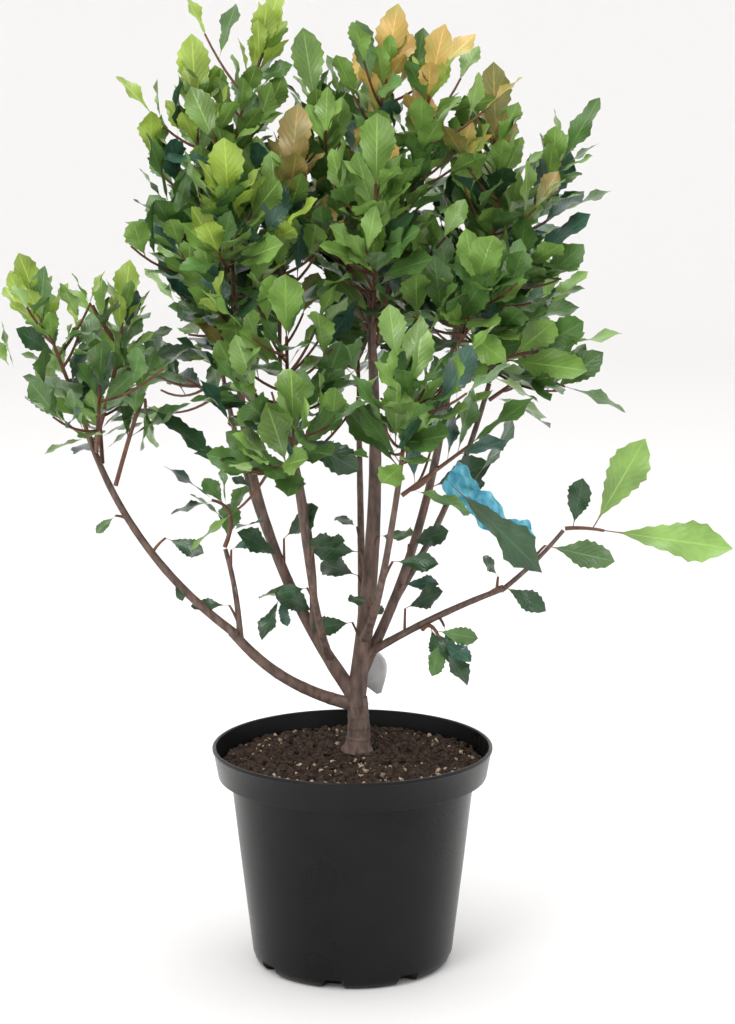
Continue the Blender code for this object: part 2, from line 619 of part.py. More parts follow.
def make_tape():
    path = tape_path(11)
    bough = limb_path("bough_right_end", 201)
    nearest = bough[np.linalg.norm(bough - path[0], axis=1).argmin()]
    t = np.linspace(0.0, 1.0, len(path))
    half = 0.0055 + 0.003 * np.sin(t * 9.0) ** 2 + 0.002 * t
    reach = unit(path[0] - nearest)
    path[0] = nearest + reach * (0.0015 + GAP + 0.0012)
    across = unit(vec((0.55, 0.0, 0.83)))
    points, faces = [], []
    for i, (centre, spread) in enumerate(zip(path, half)):
        wide = spread if i else 0.0035
        for a, b in ((-1, -1), (1, -1), (1, 1), (-1, 1)):
            points.append(centre + across * wide * a + np.array([0, 0.0009 * b, 0]))
    for i in range(len(path) - 1):
        for k in range(4):
            n = (k + 1) % 4
            faces.append((4 * i + k, 4 * i + n, 4 * i + 4 + n, 4 * i + 4 + k))
    faces.append((3, 2, 1, 0))
    faces.append(tuple(4 * (len(path) - 1) + k for k in range(4)))
    add_object("marker_tape", points, faces, "tape")


for old in list(bpy.data.objects):
    bpy.data.objects.remove(old)

make_pot()
make_soil()
make_limbs()
spaces = Spaces()
total = sum(make_mass(name, spaces) for name in MASSES)
make_label()
make_tape()
print("leaves", total, "nodes", len(bpy.data.objects))
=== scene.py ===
import math
import random

import bmesh
import bpy
import numpy as np
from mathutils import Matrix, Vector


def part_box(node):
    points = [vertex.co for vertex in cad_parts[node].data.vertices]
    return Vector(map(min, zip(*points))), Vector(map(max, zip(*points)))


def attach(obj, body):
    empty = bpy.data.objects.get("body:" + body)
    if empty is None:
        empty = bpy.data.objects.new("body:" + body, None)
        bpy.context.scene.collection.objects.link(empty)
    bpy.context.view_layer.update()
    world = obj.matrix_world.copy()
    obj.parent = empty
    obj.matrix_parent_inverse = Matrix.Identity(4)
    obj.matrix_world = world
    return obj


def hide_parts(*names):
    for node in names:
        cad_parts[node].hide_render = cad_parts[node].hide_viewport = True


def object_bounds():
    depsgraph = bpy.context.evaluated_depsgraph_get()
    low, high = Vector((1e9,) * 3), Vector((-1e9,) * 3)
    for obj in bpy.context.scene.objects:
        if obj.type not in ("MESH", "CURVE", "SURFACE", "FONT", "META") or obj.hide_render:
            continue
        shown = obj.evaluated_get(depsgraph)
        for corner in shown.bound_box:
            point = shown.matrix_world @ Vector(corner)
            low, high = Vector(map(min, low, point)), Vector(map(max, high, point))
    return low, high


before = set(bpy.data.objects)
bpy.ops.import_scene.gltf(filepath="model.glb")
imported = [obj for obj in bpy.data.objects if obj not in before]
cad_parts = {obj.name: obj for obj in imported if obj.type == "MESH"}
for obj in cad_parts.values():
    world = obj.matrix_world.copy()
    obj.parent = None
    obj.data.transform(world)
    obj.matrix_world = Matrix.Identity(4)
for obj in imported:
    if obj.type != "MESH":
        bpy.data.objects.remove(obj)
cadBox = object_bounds()
print("frame loaded", len(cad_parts), "nodes")

# growth sizes, the same as the solids were grown with
growth = {
    "gap": 0.0003, "soilEdge": 0.1365, "soilMound": 0.0085, "soilFront": 0.007,
    "goldenAngle": math.radians(137.5), "leafSpacing": 0.0078, "leafWidth": 0.47, "leafWidest": 0.58,
    "twigLength": 0.055, "twigSpacing": 0.030, "stemRadius": 0.0016, "twigRadius": 0.0011,
    "spaceGap": 0.0010, "limbClearance": 0.0034, "tapeClearance": 0.012, "potHeight": 0.150,
}
trunkFoot = (0.0037, 0.0, growth["soilEdge"] + growth["soilMound"] + growth["gap"])
trunkTop = (0.003, 0.0, 0.183)

# parent, share along it, tip, bow, first and last radius
limbs = {
    "trunk": (None, 0.0, trunkTop, (0.0008, 0.0, 0.0), 0.0078, 0.0068),
    "leader": ("trunk", 1.0, (0.012, 0.018, 0.440), (0.007, -0.006, 0.0), 0.0064, 0.0026),
    "bough_left_low": ("trunk", 0.84, (-0.080, -0.015, 0.2315), (-0.004, 0.0, -0.008), 0.0042, 0.0032),
    "bough_left_outer": ("bough_left_low", 1.0, (-0.176, 0.0, 0.365), (-0.0105, 0.0, -0.0075), 0.0030, 0.0019),
    "bough_left_inner": ("bough_left_low", 0.93, (-0.085, 0.0, 0.285), (0.002, 0.0, 0.0), 0.0021, 0.0015),
    "bough_tower": ("trunk", 0.97, (-0.075, 0.004, 0.430), (-0.021, 0.0, -0.0065), 0.0044, 0.0022),
    "bough_mid_left": ("bough_tower", 0.20, (-0.045, -0.032, 0.380), (0.006, -0.004, 0.0), 0.0027, 0.0018),
    "bough_centre_right": ("leader", 0.06, (0.070, 0.026, 0.440), (0.010, 0.0, -0.012), 0.0036, 0.0020),
    "bough_right_low": ("leader", 0.09, (0.100, -0.020, 0.262), (0.0, 0.0, 0.003), 0.0027, 0.0018),
    "bough_right_end": ("bough_right_low", 1.0, (0.140, -0.015, 0.3005), (0.001, 0.0, -0.001), 0.0017, 0.0013),
    "bough_front": ("leader", 0.16, (0.030, -0.085, 0.345), (0.0, -0.014, -0.012), 0.0030, 0.0018),
    "bough_front_left": ("bough_tower", 0.12, (-0.035, -0.085, 0.350), (0.0, -0.014, -0.010), 0.0027, 0.0018),
    "bough_back": ("leader", 0.13, (0.004, 0.095, 0.375), (0.0, 0.014, -0.012), 0.0030, 0.0018),
    "bough_back_left": ("bough_tower", 0.30, (-0.090, 0.095, 0.385), (-0.004, 0.012, -0.010), 0.0024, 0.0017),
    "bough_back_right": ("bough_centre_right", 0.25, (0.095, 0.090, 0.385), (0.004, 0.010, -0.010), 0.0024, 0.0017),
}

# limb, start below its tip, leaf tip reached, leaf length, reach, bow, share of twigs, colour of its young end
# the young colour 'dark' is the green of leaves in shadow: painted shade on the masses low down and deep in the crown
masses = {
    "leaves_left_far": ("bough_left_outer", 0.0, (-0.218, -0.004, 0.483), 0.040, 0.048, (0, 0, 0), 1.0, "lime"),
    "leaves_left_top": ("bough_left_outer", 0.008, (-0.146, 0.006, 0.478), 0.040, 0.046, (0.004, 0, 0.006), 1.0, "lime"),
    "leaves_left_front": ("bough_left_outer", 0.016, (-0.158, -0.062, 0.432), 0.040, 0.044, (0, 0, 0), 0.6, "mid"),
    "leaves_left_back": ("bough_left_outer", 0.024, (-0.178, 0.066, 0.438), 0.040, 0.046, (0, 0, 0), 0.8, "mid"),
    "leaves_left_hook": ("bough_left_outer", 0.042, (-0.096, -0.012, 0.352), 0.050, 0.030, (0.006, 0, 0.026), 0.0, "dark"),
    "leaves_left_arch": ("bough_left_inner", 0.0, (-0.126, -0.002, 0.342), 0.040, 0.034, (0.008, 0, 0.006), 0.0, "blue"),
    "leaves_tower_top": ("bough_tower", 0.0, (-0.044, 0.002, 0.657), 0.048, 0.046, (-0.016, 0, 0), 0.9, "lime"),
    "leaves_tower_peak": ("bough_tower", 0.010, (-0.104, 0.010, 0.624), 0.046, 0.044, (-0.006, 0, 0), 0.8, "lime"),
    "leaves_tower_left": ("bough_tower", 0.020, (-0.131, -0.034, 0.562), 0.048, 0.046, (-0.006, 0, 0.004), 0.8, "mid"),
    "leaves_tower_low": ("bough_tower", 0.030, (-0.128, 0.014, 0.478), 0.048, 0.046, (0, 0, 0.008), 0.8, "blue"),
    "leaves_tower_front": ("bough_tower", 0.014, (-0.078, -0.088, 0.560), 0.050, 0.050, (0, 0, 0), 1.0, "lime"),
    "leaves_tower_back": ("bough_tower", 0.024, (-0.085, 0.096, 0.560), 0.050, 0.052, (0, 0, 0), 1.0, "mid"),
    "leaves_mid_up": ("bough_mid_left", 0.0, (-0.034, -0.022, 0.580), 0.050, 0.044, (-0.004, 0, 0), 0.9, "bronze"),
    "leaves_mid_front": ("bough_mid_left", 0.010, (-0.040, -0.112, 0.478), 0.052, 0.048, (0, 0, 0), 1.0, "bright"),
    "leaves_mid_side": ("bough_mid_left", 0.020, (-0.112, -0.050, 0.432), 0.052, 0.044, (0, 0, 0.006), 0.8, "dark"),
    "leaves_centre_top": ("leader", 0.0, (0.030, 0.004, 0.643), 0.046, 0.046, (-0.006, 0, 0), 1.0, "orange"),
    "leaves_centre_left": ("leader", 0.010, (-0.032, 0.022, 0.628), 0.046, 0.044, (-0.004, 0, 0), 0.9, "bright"),
    "leaves_centre_right": ("leader", 0.020, (0.060, -0.012, 0.630), 0.046, 0.044, (0, 0, 0), 0.9, "orange"),
    "leaves_centre_front": ("leader", 0.030, (0.016, -0.086, 0.575), 0.052, 0.050, (0, 0, 0), 1.0, "bright"),
    "leaves_centre_back": ("leader", 0.040, (0.014, 0.104, 0.596), 0.052, 0.054, (0, 0, 0), 1.0, "mid"),
    "leaves_right_top": ("bough_centre_right", 0.0, (0.092, 0.006, 0.606), 0.050, 0.044, (0.012, 0, 0), 0.9, "bronze"),
    "leaves_right_tip": ("bough_centre_right", 0.010, (0.162, 0.012, 0.583), 0.048, 0.044, (0.004, 0, 0.006), 0.8, "mid"),
    "leaves_right_side": ("bough_centre_right", 0.020, (0.156, 0.000, 0.508), 0.056, 0.044, (0, 0, 0.006), 0.8, "blue"),
    "leaves_right_arm": ("bough_centre_right", 0.046, (0.178, -0.010, 0.431), 0.058, 0.044, (0, 0, 0.004), 0.8, "bright"),
    "leaves_right_front": ("bough_centre_right", 0.034, (0.088, -0.088, 0.500), 0.054, 0.050, (0, 0, 0), 1.0, "bright"),
    "leaves_right_back": ("bough_centre_right", 0.030, (0.108, 0.104, 0.530), 0.052, 0.052, (0, 0, 0), 1.0, "mid"),
    "leaves_front_up": ("bough_front", 0.0, (0.042, -0.140, 0.456), 0.054, 0.050, (0, 0, 0), 1.0, "bright"),
    "leaves_front_right": ("bough_front", 0.010, (0.116, -0.078, 0.398), 0.052, 0.044, (0, 0, 0), 0.8, "mid"),
    "leaves_front_left": ("bough_front_left", 0.0, (-0.036, -0.146, 0.424), 0.052, 0.048, (0, 0, 0), 0.9, "bright"),
    "leaves_front_side": ("bough_front_left", 0.010, (-0.098, -0.106, 0.366), 0.050, 0.042, (0, 0, 0.006), 0.7, "dark"),
    "leaves_back_up": ("bough_back", 0.0, (0.002, 0.150, 0.486), 0.052, 0.054, (0, 0, 0), 1.0, "mid"),
    "leaves_back_left": ("bough_back_left", 0.0, (-0.108, 0.148, 0.482), 0.052, 0.054, (0, 0, 0), 1.0, "mid"),
    "leaves_back_side": ("bough_back_left", 0.012, (-0.160, 0.108, 0.410), 0.050, 0.048, (0, 0, 0), 0.8, "mid"),
    "leaves_back_right": ("bough_back_right", 0.0, (0.112, 0.150, 0.480), 0.052, 0.054, (0, 0, 0), 1.0, "mid"),
    "leaves_back_far": ("bough_back_right", 0.012, (0.162, 0.098, 0.420), 0.050, 0.048, (0, 0, 0), 0.8, "mid"),
    "leaves_right_end": ("bough_right_end", 0.0, (0.252, -0.020, 0.289), 0.086, 0.030, (0, 0, 0.001), 0.0, "bright"),
    "leaves_right_low": ("bough_right_low", 0.062, (0.076, -0.040, 0.201), 0.036, 0.030, (0, 0, 0.006), 0.0, "dark"),
    "leaves_left_hang": ("bough_tower", 0.180, (-0.060, -0.024, 0.228), 0.032, 0.026, (0, 0, 0.004), 0.0, "dark"),
}

# mass, share along its stem, leaf tip, colour
# 'dark' here is the green of leaves in shadow: painted shade
setLeaves = (
    ("leaves_right_end", 0.70, (0.193, -0.015, 0.362), "bright"),
    ("leaves_right_end", 0.20, (0.151, -0.030, 0.338), "dark"),
    ("leaves_right_arm", 0.55, (0.153, -0.026, 0.408), "bright"),
    ("leaves_right_tip", 0.62, (0.144, 0.034, 0.550), "blue"),
    ("leaves_left_far", 0.60, (-0.220, -0.010, 0.434), "dark"),
    ("leaves_tower_top", 0.90, (-0.038, 0.000, 0.604), "mid"),
)

# places where the sky shows through the crown from the front: x, z, radius in the plane of the trunk
skyWindows = ((-0.035, 0.425, 0.015), (-0.057, 0.395, 0.007), (-0.112, 0.393, 0.010), (-0.098, 0.368, 0.012),
              (-0.070, 0.322, 0.012), (-0.030, 0.600, 0.012), (-0.034, 0.470, 0.007), (-0.118, 0.300, 0.016),
              (0.012, 0.268, 0.006), (0.112, 0.330, 0.020), (-0.125, 0.440, 0.008), (0.060, 0.425, 0.006))

view = {"place": (0.0102, -1.638, 0.604), "down": math.radians(10.17), "lens": 87.64}


def vec(values):
    return np.array(values, dtype=float)


def unit(values):
    return values / max(np.linalg.norm(values), 1e-12)


def arc(start, end, bow, count):
    # quadratic curve: (1-t)^2 start + 2t(1-t)(middle + 2 bow) + t^2 end
    start, end = vec(start), vec(end)
    middle = (start + end) / 2 + 2 * vec(bow)
    t = np.linspace(0.0, 1.0, count)[:, None]
    return (1 - t) ** 2 * start + 2 * t * (1 - t) * middle + t ** 2 * end


def carried(path, radii, sides, turns=1.0):
    # rings of a circle carried along a path without twist: centre + radius (cos a side + sin a other)
    path = np.asarray(path)
    along = np.gradient(path, axis=0)
    side = unit(np.cross(along[0], (0.31, 0.87, 0.38)))
    sidesAt = []
    for direction in along:
        direction = unit(direction)
        side = unit(side - direction * (side @ direction))
        sidesAt.append((side, np.cross(direction, side)))
    angle = np.arange(sides) * 2 * math.pi / sides
    one = np.array([s[0] for s in sidesAt])[:, None]
    two = np.array([s[1] for s in sidesAt])[:, None]
    radii = np.asarray(radii)
    radii = radii[:, None, None] if radii.ndim == 1 else radii[:, :, None]
    return path[:, None] + radii * (np.cos(angle)[None, :, None] * one + np.sin(angle)[None, :, None] * two)


def limbPath(name, count=9):
    parent, share, tip, bow, first, last = limbs[name]
    if parent is None:
        return arc(trunkFoot, tip, bow, count)
    above = limbPath(parent, 41)
    if share >= 1.0:
        ahead = unit(above[-1] - above[-2])
        firstWay = unit(vec(tip) - above[-1] + 4 * vec(bow))
        slant = np.linalg.norm(np.cross(ahead, firstWay))
        return arc(above[-1] + ahead * (growth["gap"] + first * slant * 1.05), tip, bow, count)
    return arc(above[int(round(share * 40))], tip, bow, count)


def limbRadii(name, count):
    first, last = limbs[name][4:6]
    t = np.linspace(0.0, 1.0, count)
    radii = first + (last - first) * t
    if name == "trunk":
        radii = radii * (1 + 0.45 * np.exp(-t * 7))
    return radii


def tapePath(count=9):
    path = arc((0.1190, -0.0300, 0.2960), (0.0640, -0.0420, 0.3440), (-0.002, -0.004, -0.004), count)
    t = np.linspace(0.0, 1.0, count)
    path[:, 1] += 0.0022 * np.sin(t * 5 * math.pi)
    path[:, 2] += 0.0016 * np.sin(t * 4 * math.pi)
    return path


def stemPath(name, count=41):
    limb, back, tip, leaf, reach, bow, share, young = masses[name]
    path, radii = limbPath(limb, 201), limbRadii(limb, 201)
    run = np.concatenate([[0.0], np.cumsum(np.linalg.norm(np.diff(path, axis=0), axis=1))])
    spot = min(int(np.searchsorted(run, run[-1] - back)) if back else 200, 200)
    ahead = unit(path[min(spot + 1, 200)] - path[max(spot - 1, 0)])
    tip = vec(tip)
    if back == 0.0:
        firstWay = unit((tip - path[-1]) * (1 - leaf / np.linalg.norm(tip - path[-1])) + 4 * vec(bow))
        slant = np.linalg.norm(np.cross(ahead, firstWay))
        start = path[-1] + ahead * (growth["gap"] + growth["stemRadius"] * slant * 1.1)
    else:
        out = tip - path[spot]
        out = unit(out - ahead * (out @ ahead))
        start = path[spot] + out * (radii[spot] + growth["gap"] + growth["stemRadius"] * 0.55)
    for attempt in range(3):
        end = tip - unit(tip - start - 2.2 * vec(bow)) * leaf
        stem = arc(start, end, bow, count)
        if back == 0.0:
            break
        # slide the stem's foot until it stands the plain gap off the limb, as in the solids
        corners = carried(stem[::10], np.linspace(growth["stemRadius"], growth["twigRadius"], 5), 3)
        t = np.linspace(0.0, 1.0, 9)[:, None, None]
        edges = (corners[0] * (1 - t) + corners[1] * t).reshape(-1, 3)
        away = np.linalg.norm(edges[:, None] - path[None], axis=2) - radii[None]
        start = start + out * (1.2 * growth["gap"] - away.min())
    return stem


def leafSamples(leaf):
    base, ahead, up, length, width = leaf[:5]
    side = np.cross(ahead, up)
    widest = growth["leafWidest"]
    share = np.array((0.2, 0.34, 0.48, 0.62, 0.76, 0.9, 1.0))
    spread = np.where(share < widest, share / widest, (1 - share) / (1 - widest))
    across = np.linspace(-1.0, 1.0, 5)
    places = base + ahead * (share * length)[:, None, None]
    return (places + side * (across[None, :] * spread[:, None] * width / 2)[:, :, None]).reshape(-1, 3)


stems = {name: stemPath(name) for name in masses}
limbPoints = np.concatenate([limbPath(name, 90) for name in limbs] + [tapePath(40)])
limbReach = np.concatenate([limbRadii(name, 90) + growth["limbClearance"] for name in limbs]
                           + [np.full(40, growth["tapeClearance"])])
allStems = np.concatenate([stems[name] for name in masses])
stemOwner = np.repeat(np.arange(len(masses)), 41)
massOrder = {name: i for i, name in enumerate(masses)}


def holds(name, points, reach, slack=0.0):
    # nearest to the mass's own stem, within its reach, clear of limbs and the tape, and above the pot
    away = np.linalg.norm(points[:, None] - allStems[None], axis=2)
    mine = stemOwner == massOrder[name]
    own, other = away[:, mine].min(axis=1), away[:, ~mine].min(axis=1)
    if own.max() > reach or (other + slack < own + growth["spaceGap"]).any():
        return False
    if (np.linalg.norm(points[:, None] - limbPoints[None], axis=2) - limbReach).min() < 0:
        return False
    return points[:, 2].min() > growth["potHeight"] + 0.012


def showsTape(points):
    eye = vec(view["place"])
    spot, size = vec((0.070, -0.0420, 0.3400)), 0.016
    flat = eye + (points - eye) * ((spot[1] - eye[1]) / (points[:, 1] - eye[1]))[:, None]
    return points[:, 1].min() > spot[1] or np.hypot(flat[:, 0] - spot[0], flat[:, 2] - spot[2]).min() > size


def skyClear(points):
    eye = vec(view["place"])
    flat = eye + (points - eye) * (-eye[1] / (points[:, 1] - eye[1]))[:, None]
    return all(np.hypot(flat[:, 0] - x, flat[:, 2] - z).min() > r for x, z, r in skyWindows)


def axisLeaves(rng, path, leafLength, firstShare, spacing):
    # leaves in a spiral along a shoot, opening wide below and closing to the tip
    run = np.concatenate([[0.0], np.cumsum(np.linalg.norm(np.diff(path, axis=0), axis=1))])
    turn = rng.random() * 2 * math.pi
    at = run[-1] * firstShare
    while at < run[-1] * 0.97:
        spot = min(int(np.searchsorted(run, at)), len(path) - 2)
        axis = unit(path[spot + 1] - path[spot])
        share = at / run[-1]
        side = unit(np.cross(axis, (0.2, 0.1, 1.0) if abs(axis[2]) < 0.9 else (1.0, 0.2, 0.0)))
        radial = math.cos(turn) * side + math.sin(turn) * np.cross(axis, side)
        openAngle = math.radians(68 - 34 * share + rng.uniform(-9, 9))
        ahead = unit(math.cos(openAngle) * axis + math.sin(openAngle) * radial + np.array([0, 0, 0.08]))
        up = axis * 0.7 + np.array([0, 0, 0.5]) + 0.25 * np.array([rng.uniform(-1, 1) for _ in range(3)])
        up = unit(up - ahead * (up @ ahead))
        length = leafLength * (1.0 - 0.30 * share + rng.uniform(-0.12, 0.12))
        yield (path[spot], ahead, up, length, length * growth["leafWidth"], share)
        turn += growth["goldenAngle"]
        at += spacing * rng.uniform(0.85, 1.2)


def grow(name):
    # the source's rule: stem, seeded twigs, spiral leaves and an end leaf
    limb, back, tip, leafLength, reach, bow, twigShare, young = masses[name]
    rng = random.Random("photinia " + name)
    stem = stems[name]
    tip = vec(tip)
    length = np.linalg.norm(np.diff(stem, axis=0), axis=1).sum()
    endBase = stem[-3]
    endAhead = unit(tip - endBase)
    endUp = np.array([0.0, -0.95, 0.45] if name == "leaves_right_end" else [0.0, -0.35, 1.0])
    endUp = unit(endUp - endAhead * (endUp @ endAhead))
    endLength = np.linalg.norm(tip - endBase)
    leaves = [(endBase, endAhead, endUp, endLength, endLength * growth["leafWidth"] * 0.92, 1.0, young)]
    for owner, share, leafTip, colour in setLeaves:
        if owner == name:
            base = stem[int(share * 40)]
            ahead = vec(leafTip) - base
            up = np.array([0.0, -0.9, 0.6])
            up = unit(up - unit(ahead) * (up @ unit(ahead)))
            size = np.linalg.norm(ahead)
            leaves.append((base, unit(ahead), up, size, size * growth["leafWidth"], 1.0, colour))
    twigs = []
    turn = rng.random() * 2 * math.pi
    count = int(round(twigShare * length / growth["twigSpacing"]))
    for k in range(count):
        share = 0.22 + 0.62 * (k + 0.5) / count
        spot = int(share * 40)
        axis = unit(stem[spot + 1] - stem[spot])
        side = unit(np.cross(axis, (0.3, 0.9, 0.2)))
        radial = math.cos(turn) * side + math.sin(turn) * np.cross(axis, side)
        turn += growth["goldenAngle"]
        size = growth["twigLength"] * (1.1 - 0.5 * share) * rng.uniform(0.8, 1.1)
        for attempt in range(2):
            out = unit(0.75 * axis + radial + np.array([0, 0, 0.25]))
            twig = arc(stem[spot], stem[spot] + out * size, np.array([0, 0, -0.1 * size]), 13)
            if holds(name, twig[5:], reach):
                twigs.append(twig)
                break
            size *= 0.6
    for path, start in [(stem, 0.16)] + [(twig, 0.35) for twig in twigs]:
        for leaf in axisLeaves(rng, path, leafLength, start, growth["leafSpacing"]):
            if holds(name, leafSamples(leaf), reach):
                leaves.append(leaf + (None,))
    for twig in twigs:
        ahead = unit(twig[-1] - twig[-3])
        up = np.array([0.0, 0.0, 1.0]) + 0.4 * ahead
        up = unit(up - ahead * (up @ ahead))
        size = leafLength * 0.85
        leaf = (twig[-2], ahead, up, size, size * growth["leafWidth"], 1.0, None)
        if holds(name, leafSamples(leaf), reach):
            leaves.append(leaf)
    return stem, twigs, leaves


def inBox(points):
    low, high = np.array(cadBox[0]), np.array(cadBox[1])
    inside = (points.min(axis=0) > low - fine["boxSlack"]).all() and (points.max(axis=0) < high + fine["boxSlack"]).all()
    return inside and points[:, 0].min() > fine["leftEdge"]


def youngSpray(name, stem, leaves, rng):
    # small upright leaves closed round a shoot's end leaf
    end = leaves[0]
    side = unit(np.cross(end[1], (0.3, 0.9, 0.2)))
    other = np.cross(end[1], side)
    turn = rng.random() * 6.28
    for k in range(fine["youngLeaves"]):
        radial = math.cos(turn) * side + math.sin(turn) * other
        openAngle = math.radians(rng.uniform(16, 40))
        ahead = unit(math.cos(openAngle) * end[1] + math.sin(openAngle) * radial)
        up = unit(end[1] * 0.6 - radial + np.array([0, 0, 0.2]))
        up = unit(up - ahead * (up @ ahead))
        length = rng.uniform(*fine["youngLength"])
        base = stem[-1] - end[1] * 0.002 * k
        leaf = (base, ahead, up, length, length * fine["youngWidth"], 1.0)
        if inBox(leafSamples(leaf)):
            leaves.append(leaf + (masses[name][7] if rng.random() < fine["youngShare"] else rng.choice(("lime", "bright")),))
        turn += growth["goldenAngle"]


def lowShoots():
    # a short curved stalk from the limb, then one leaf to the place read from the photo
    stalks, leaves = [], []
    for limb, share, leafTip, size, colour in lowLeaves:
        path, radii = limbPath(limb, 101), limbRadii(limb, 101)
        start, tip = path[int(share * 100)], vec(leafTip)
        out = unit(tip - start)
        start = start + out * radii[int(share * 100)] * 0.5
        size = min(size * fine["lowLonger"], 0.78 * np.linalg.norm(tip - start))
        foot = tip - unit(out + np.array([0, 0, -0.35])) * size
        stalks.append(arc(start, foot, (0, 0, 0.06 * np.linalg.norm(foot - start)), 13))
        ahead = unit(tip - foot)
        up = np.array([0.15, -0.8, 0.6])
        up = unit(up - ahead * (up @ ahead))
        leaves.append((foot, ahead, up, size, size * growth["leafWidth"], 0.3, colour))
    return stalks, leaves


def fillIn(name, stem, twigs, leaves, middles):
    # finer twigs and more leaves within the same reach, kept apart from the leaves that are there
    limb, back, tip, leafLength, reach, bow, twigShare, young = masses[name]
    rng = random.Random("finer " + name)
    more = []
    if twigShare:
        turn = rng.random() * 6.28
        for k in range(int(round(fine["twigs"] * twigShare * (fine["outerShare"] if abs(tip[0]) > fine["outerX"] else 1)))):
            spot = int(rng.uniform(4, 36))
            axis = unit(stem[spot + 1] - stem[spot])
            side = unit(np.cross(axis, (0.3, 0.9, 0.2)))
            radial = math.cos(turn) * side + math.sin(turn) * np.cross(axis, side)
            turn += growth["goldenAngle"]
            out = unit(0.6 * axis + radial + np.array([0, 0, 0.2]))
            size = rng.uniform(0.030, 0.052)
            twig = arc(stem[spot], stem[spot] + out * size, np.array([0, 0, -0.08 * size]), 13)
            if holds(name, twig[5:], reach, 0.016) and inBox(twig):
                more.append(twig)
                ahead = unit(twig[-1] - twig[-3])
                up = np.array([0.0, -0.2, 1.0]) + 0.4 * ahead
                up = unit(up - ahead * (up @ ahead))
                size = leafLength * rng.uniform(0.65, 0.85)
                leaf = (twig[-2], ahead, up, size, size * growth["leafWidth"], 1.0)
                if skyClear(leafSamples(leaf)) and inBox(leafSamples(leaf)):
                    leaves.append(leaf + (None,))
                    middles.append(leafSamples(leaf)[12:23].mean(axis=0))
                else:
                    more[-1] = twig[:7]
    spacing = fine["spacing"]
    outer = abs(tip[0]) > fine["outerX"]    # the photo's crown is thinner at its sides
    for path, start in [(stem, 0.10)] * 2 + [(twig, 0.30) for twig in twigs + more]:
        for leaf in axisLeaves(rng, path, leafLength, start, spacing):
            points = leafSamples(leaf)
            if outer and rng.random() > fine["outerShare"]:
                continue
            middle = points[12:23].mean(axis=0)
            if middles and np.linalg.norm(np.array(middles) - middle, axis=1).min() < fine["apart"]:
                continue
            if holds(name, points, reach + 0.004, fine["slack"]) and skyClear(points) and inBox(points):
                leaves.append(leaf + (None,))
                middles.append(middle)
    if young in ("lime", "bronze", "orange"):
        youngSpray(name, stem, leaves, rng)
    return more


fine = {"twigs": 7, "spacing": 0.0055, "apart": 0.0088, "slack": 0.026, "boxSlack": 0.003,
        "youngLeaves": 6, "youngLength": (0.024, 0.036), "youngWidth": 0.36, "widest": 0.026, "slimmer": 0.92,
        "leftEdge": -0.236, "twigEdge": -0.222, "outerShare": 0.55, "outerX": 0.125, "lowLonger": 1.3, "youngShare": 0.55}

# single low leaves that the photo shows on the bare limbs: limb, share along it, leaf tip, leaf length, colour
# 'dark' here is the green of leaves in shadow: painted shade on these leaves under the crown
lowLeaves = (
    ("bough_left_outer", 0.34, (-0.113, -0.012, 0.252), 0.030, "dark"),
    ("bough_left_outer", 0.45, (-0.098, -0.020, 0.286), 0.026, "dark"),
    ("bough_left_inner", 0.40, (-0.078, -0.020, 0.262), 0.022, "dark"),
    ("bough_left_inner", 0.20, (-0.108, -0.010, 0.248), 0.026, "dark"),
    ("bough_left_inner", 0.80, (-0.062, -0.016, 0.296), 0.030, "blue"),
    ("bough_left_outer", 0.62, (-0.170, -0.012, 0.298), 0.024, "mid"),
    ("bough_tower", 0.16, (-0.052, -0.020, 0.262), 0.030, "dark"),
    ("bough_tower", 0.30, (-0.076, -0.020, 0.300), 0.030, "dark"),
    ("bough_tower", 0.38, (-0.022, -0.026, 0.318), 0.034, "dark"),
    ("leader", 0.14, (-0.026, -0.024, 0.236), 0.032, "dark"),
    ("leader", 0.20, (0.020, -0.026, 0.246), 0.028, "dark"),
    ("leader", 0.30, (-0.030, -0.028, 0.292), 0.036, "dark"),
    ("leader", 0.36, (0.040, -0.030, 0.300), 0.034, "mid"),
    ("leader", 0.24, (-0.022, 0.036, 0.268), 0.034, "dark"),
    ("bough_front", 0.30, (-0.002, -0.060, 0.262), 0.030, "dark"),
    ("bough_front", 0.52, (0.056, -0.066, 0.288), 0.036, "dark"),
    ("bough_front_left", 0.42, (-0.048, -0.066, 0.268), 0.036, "dark"),
    ("bough_front_left", 0.62, (-0.004, -0.082, 0.306), 0.036, "dark"),
    ("bough_centre_right", 0.34, (0.064, -0.014, 0.300), 0.034, "dark"),
    ("bough_centre_right", 0.24, (0.058, -0.006, 0.262), 0.030, "blue"),
    ("bough_centre_right", 0.46, (0.092, -0.008, 0.344), 0.036, "dark"),
    ("bough_right_low", 0.30, (0.060, -0.028, 0.262), 0.030, "dark"),
    ("bough_right_low", 0.55, (0.066, -0.026, 0.212), 0.034, "dark"),
    ("bough_right_low", 0.86, (0.128, -0.030, 0.249), 0.032, "dark"),
    ("bough_right_low", 0.96, (0.086, -0.030, 0.286), 0.026, "dark"),
    ("bough_right_end", 0.30, (0.173, -0.028, 0.282), 0.040, "mid"),
    ("bough_front", 0.95, (0.123, -0.060, 0.281), 0.072, "dark"),
    ("bough_back", 0.45, (-0.012, 0.082, 0.292), 0.036, "dark"),
    ("bough_back_right", 0.50, (0.092, 0.072, 0.318), 0.036, "dark"),
    ("bough_back_left", 0.50, (-0.084, 0.070, 0.322), 0.036, "dark"),
)

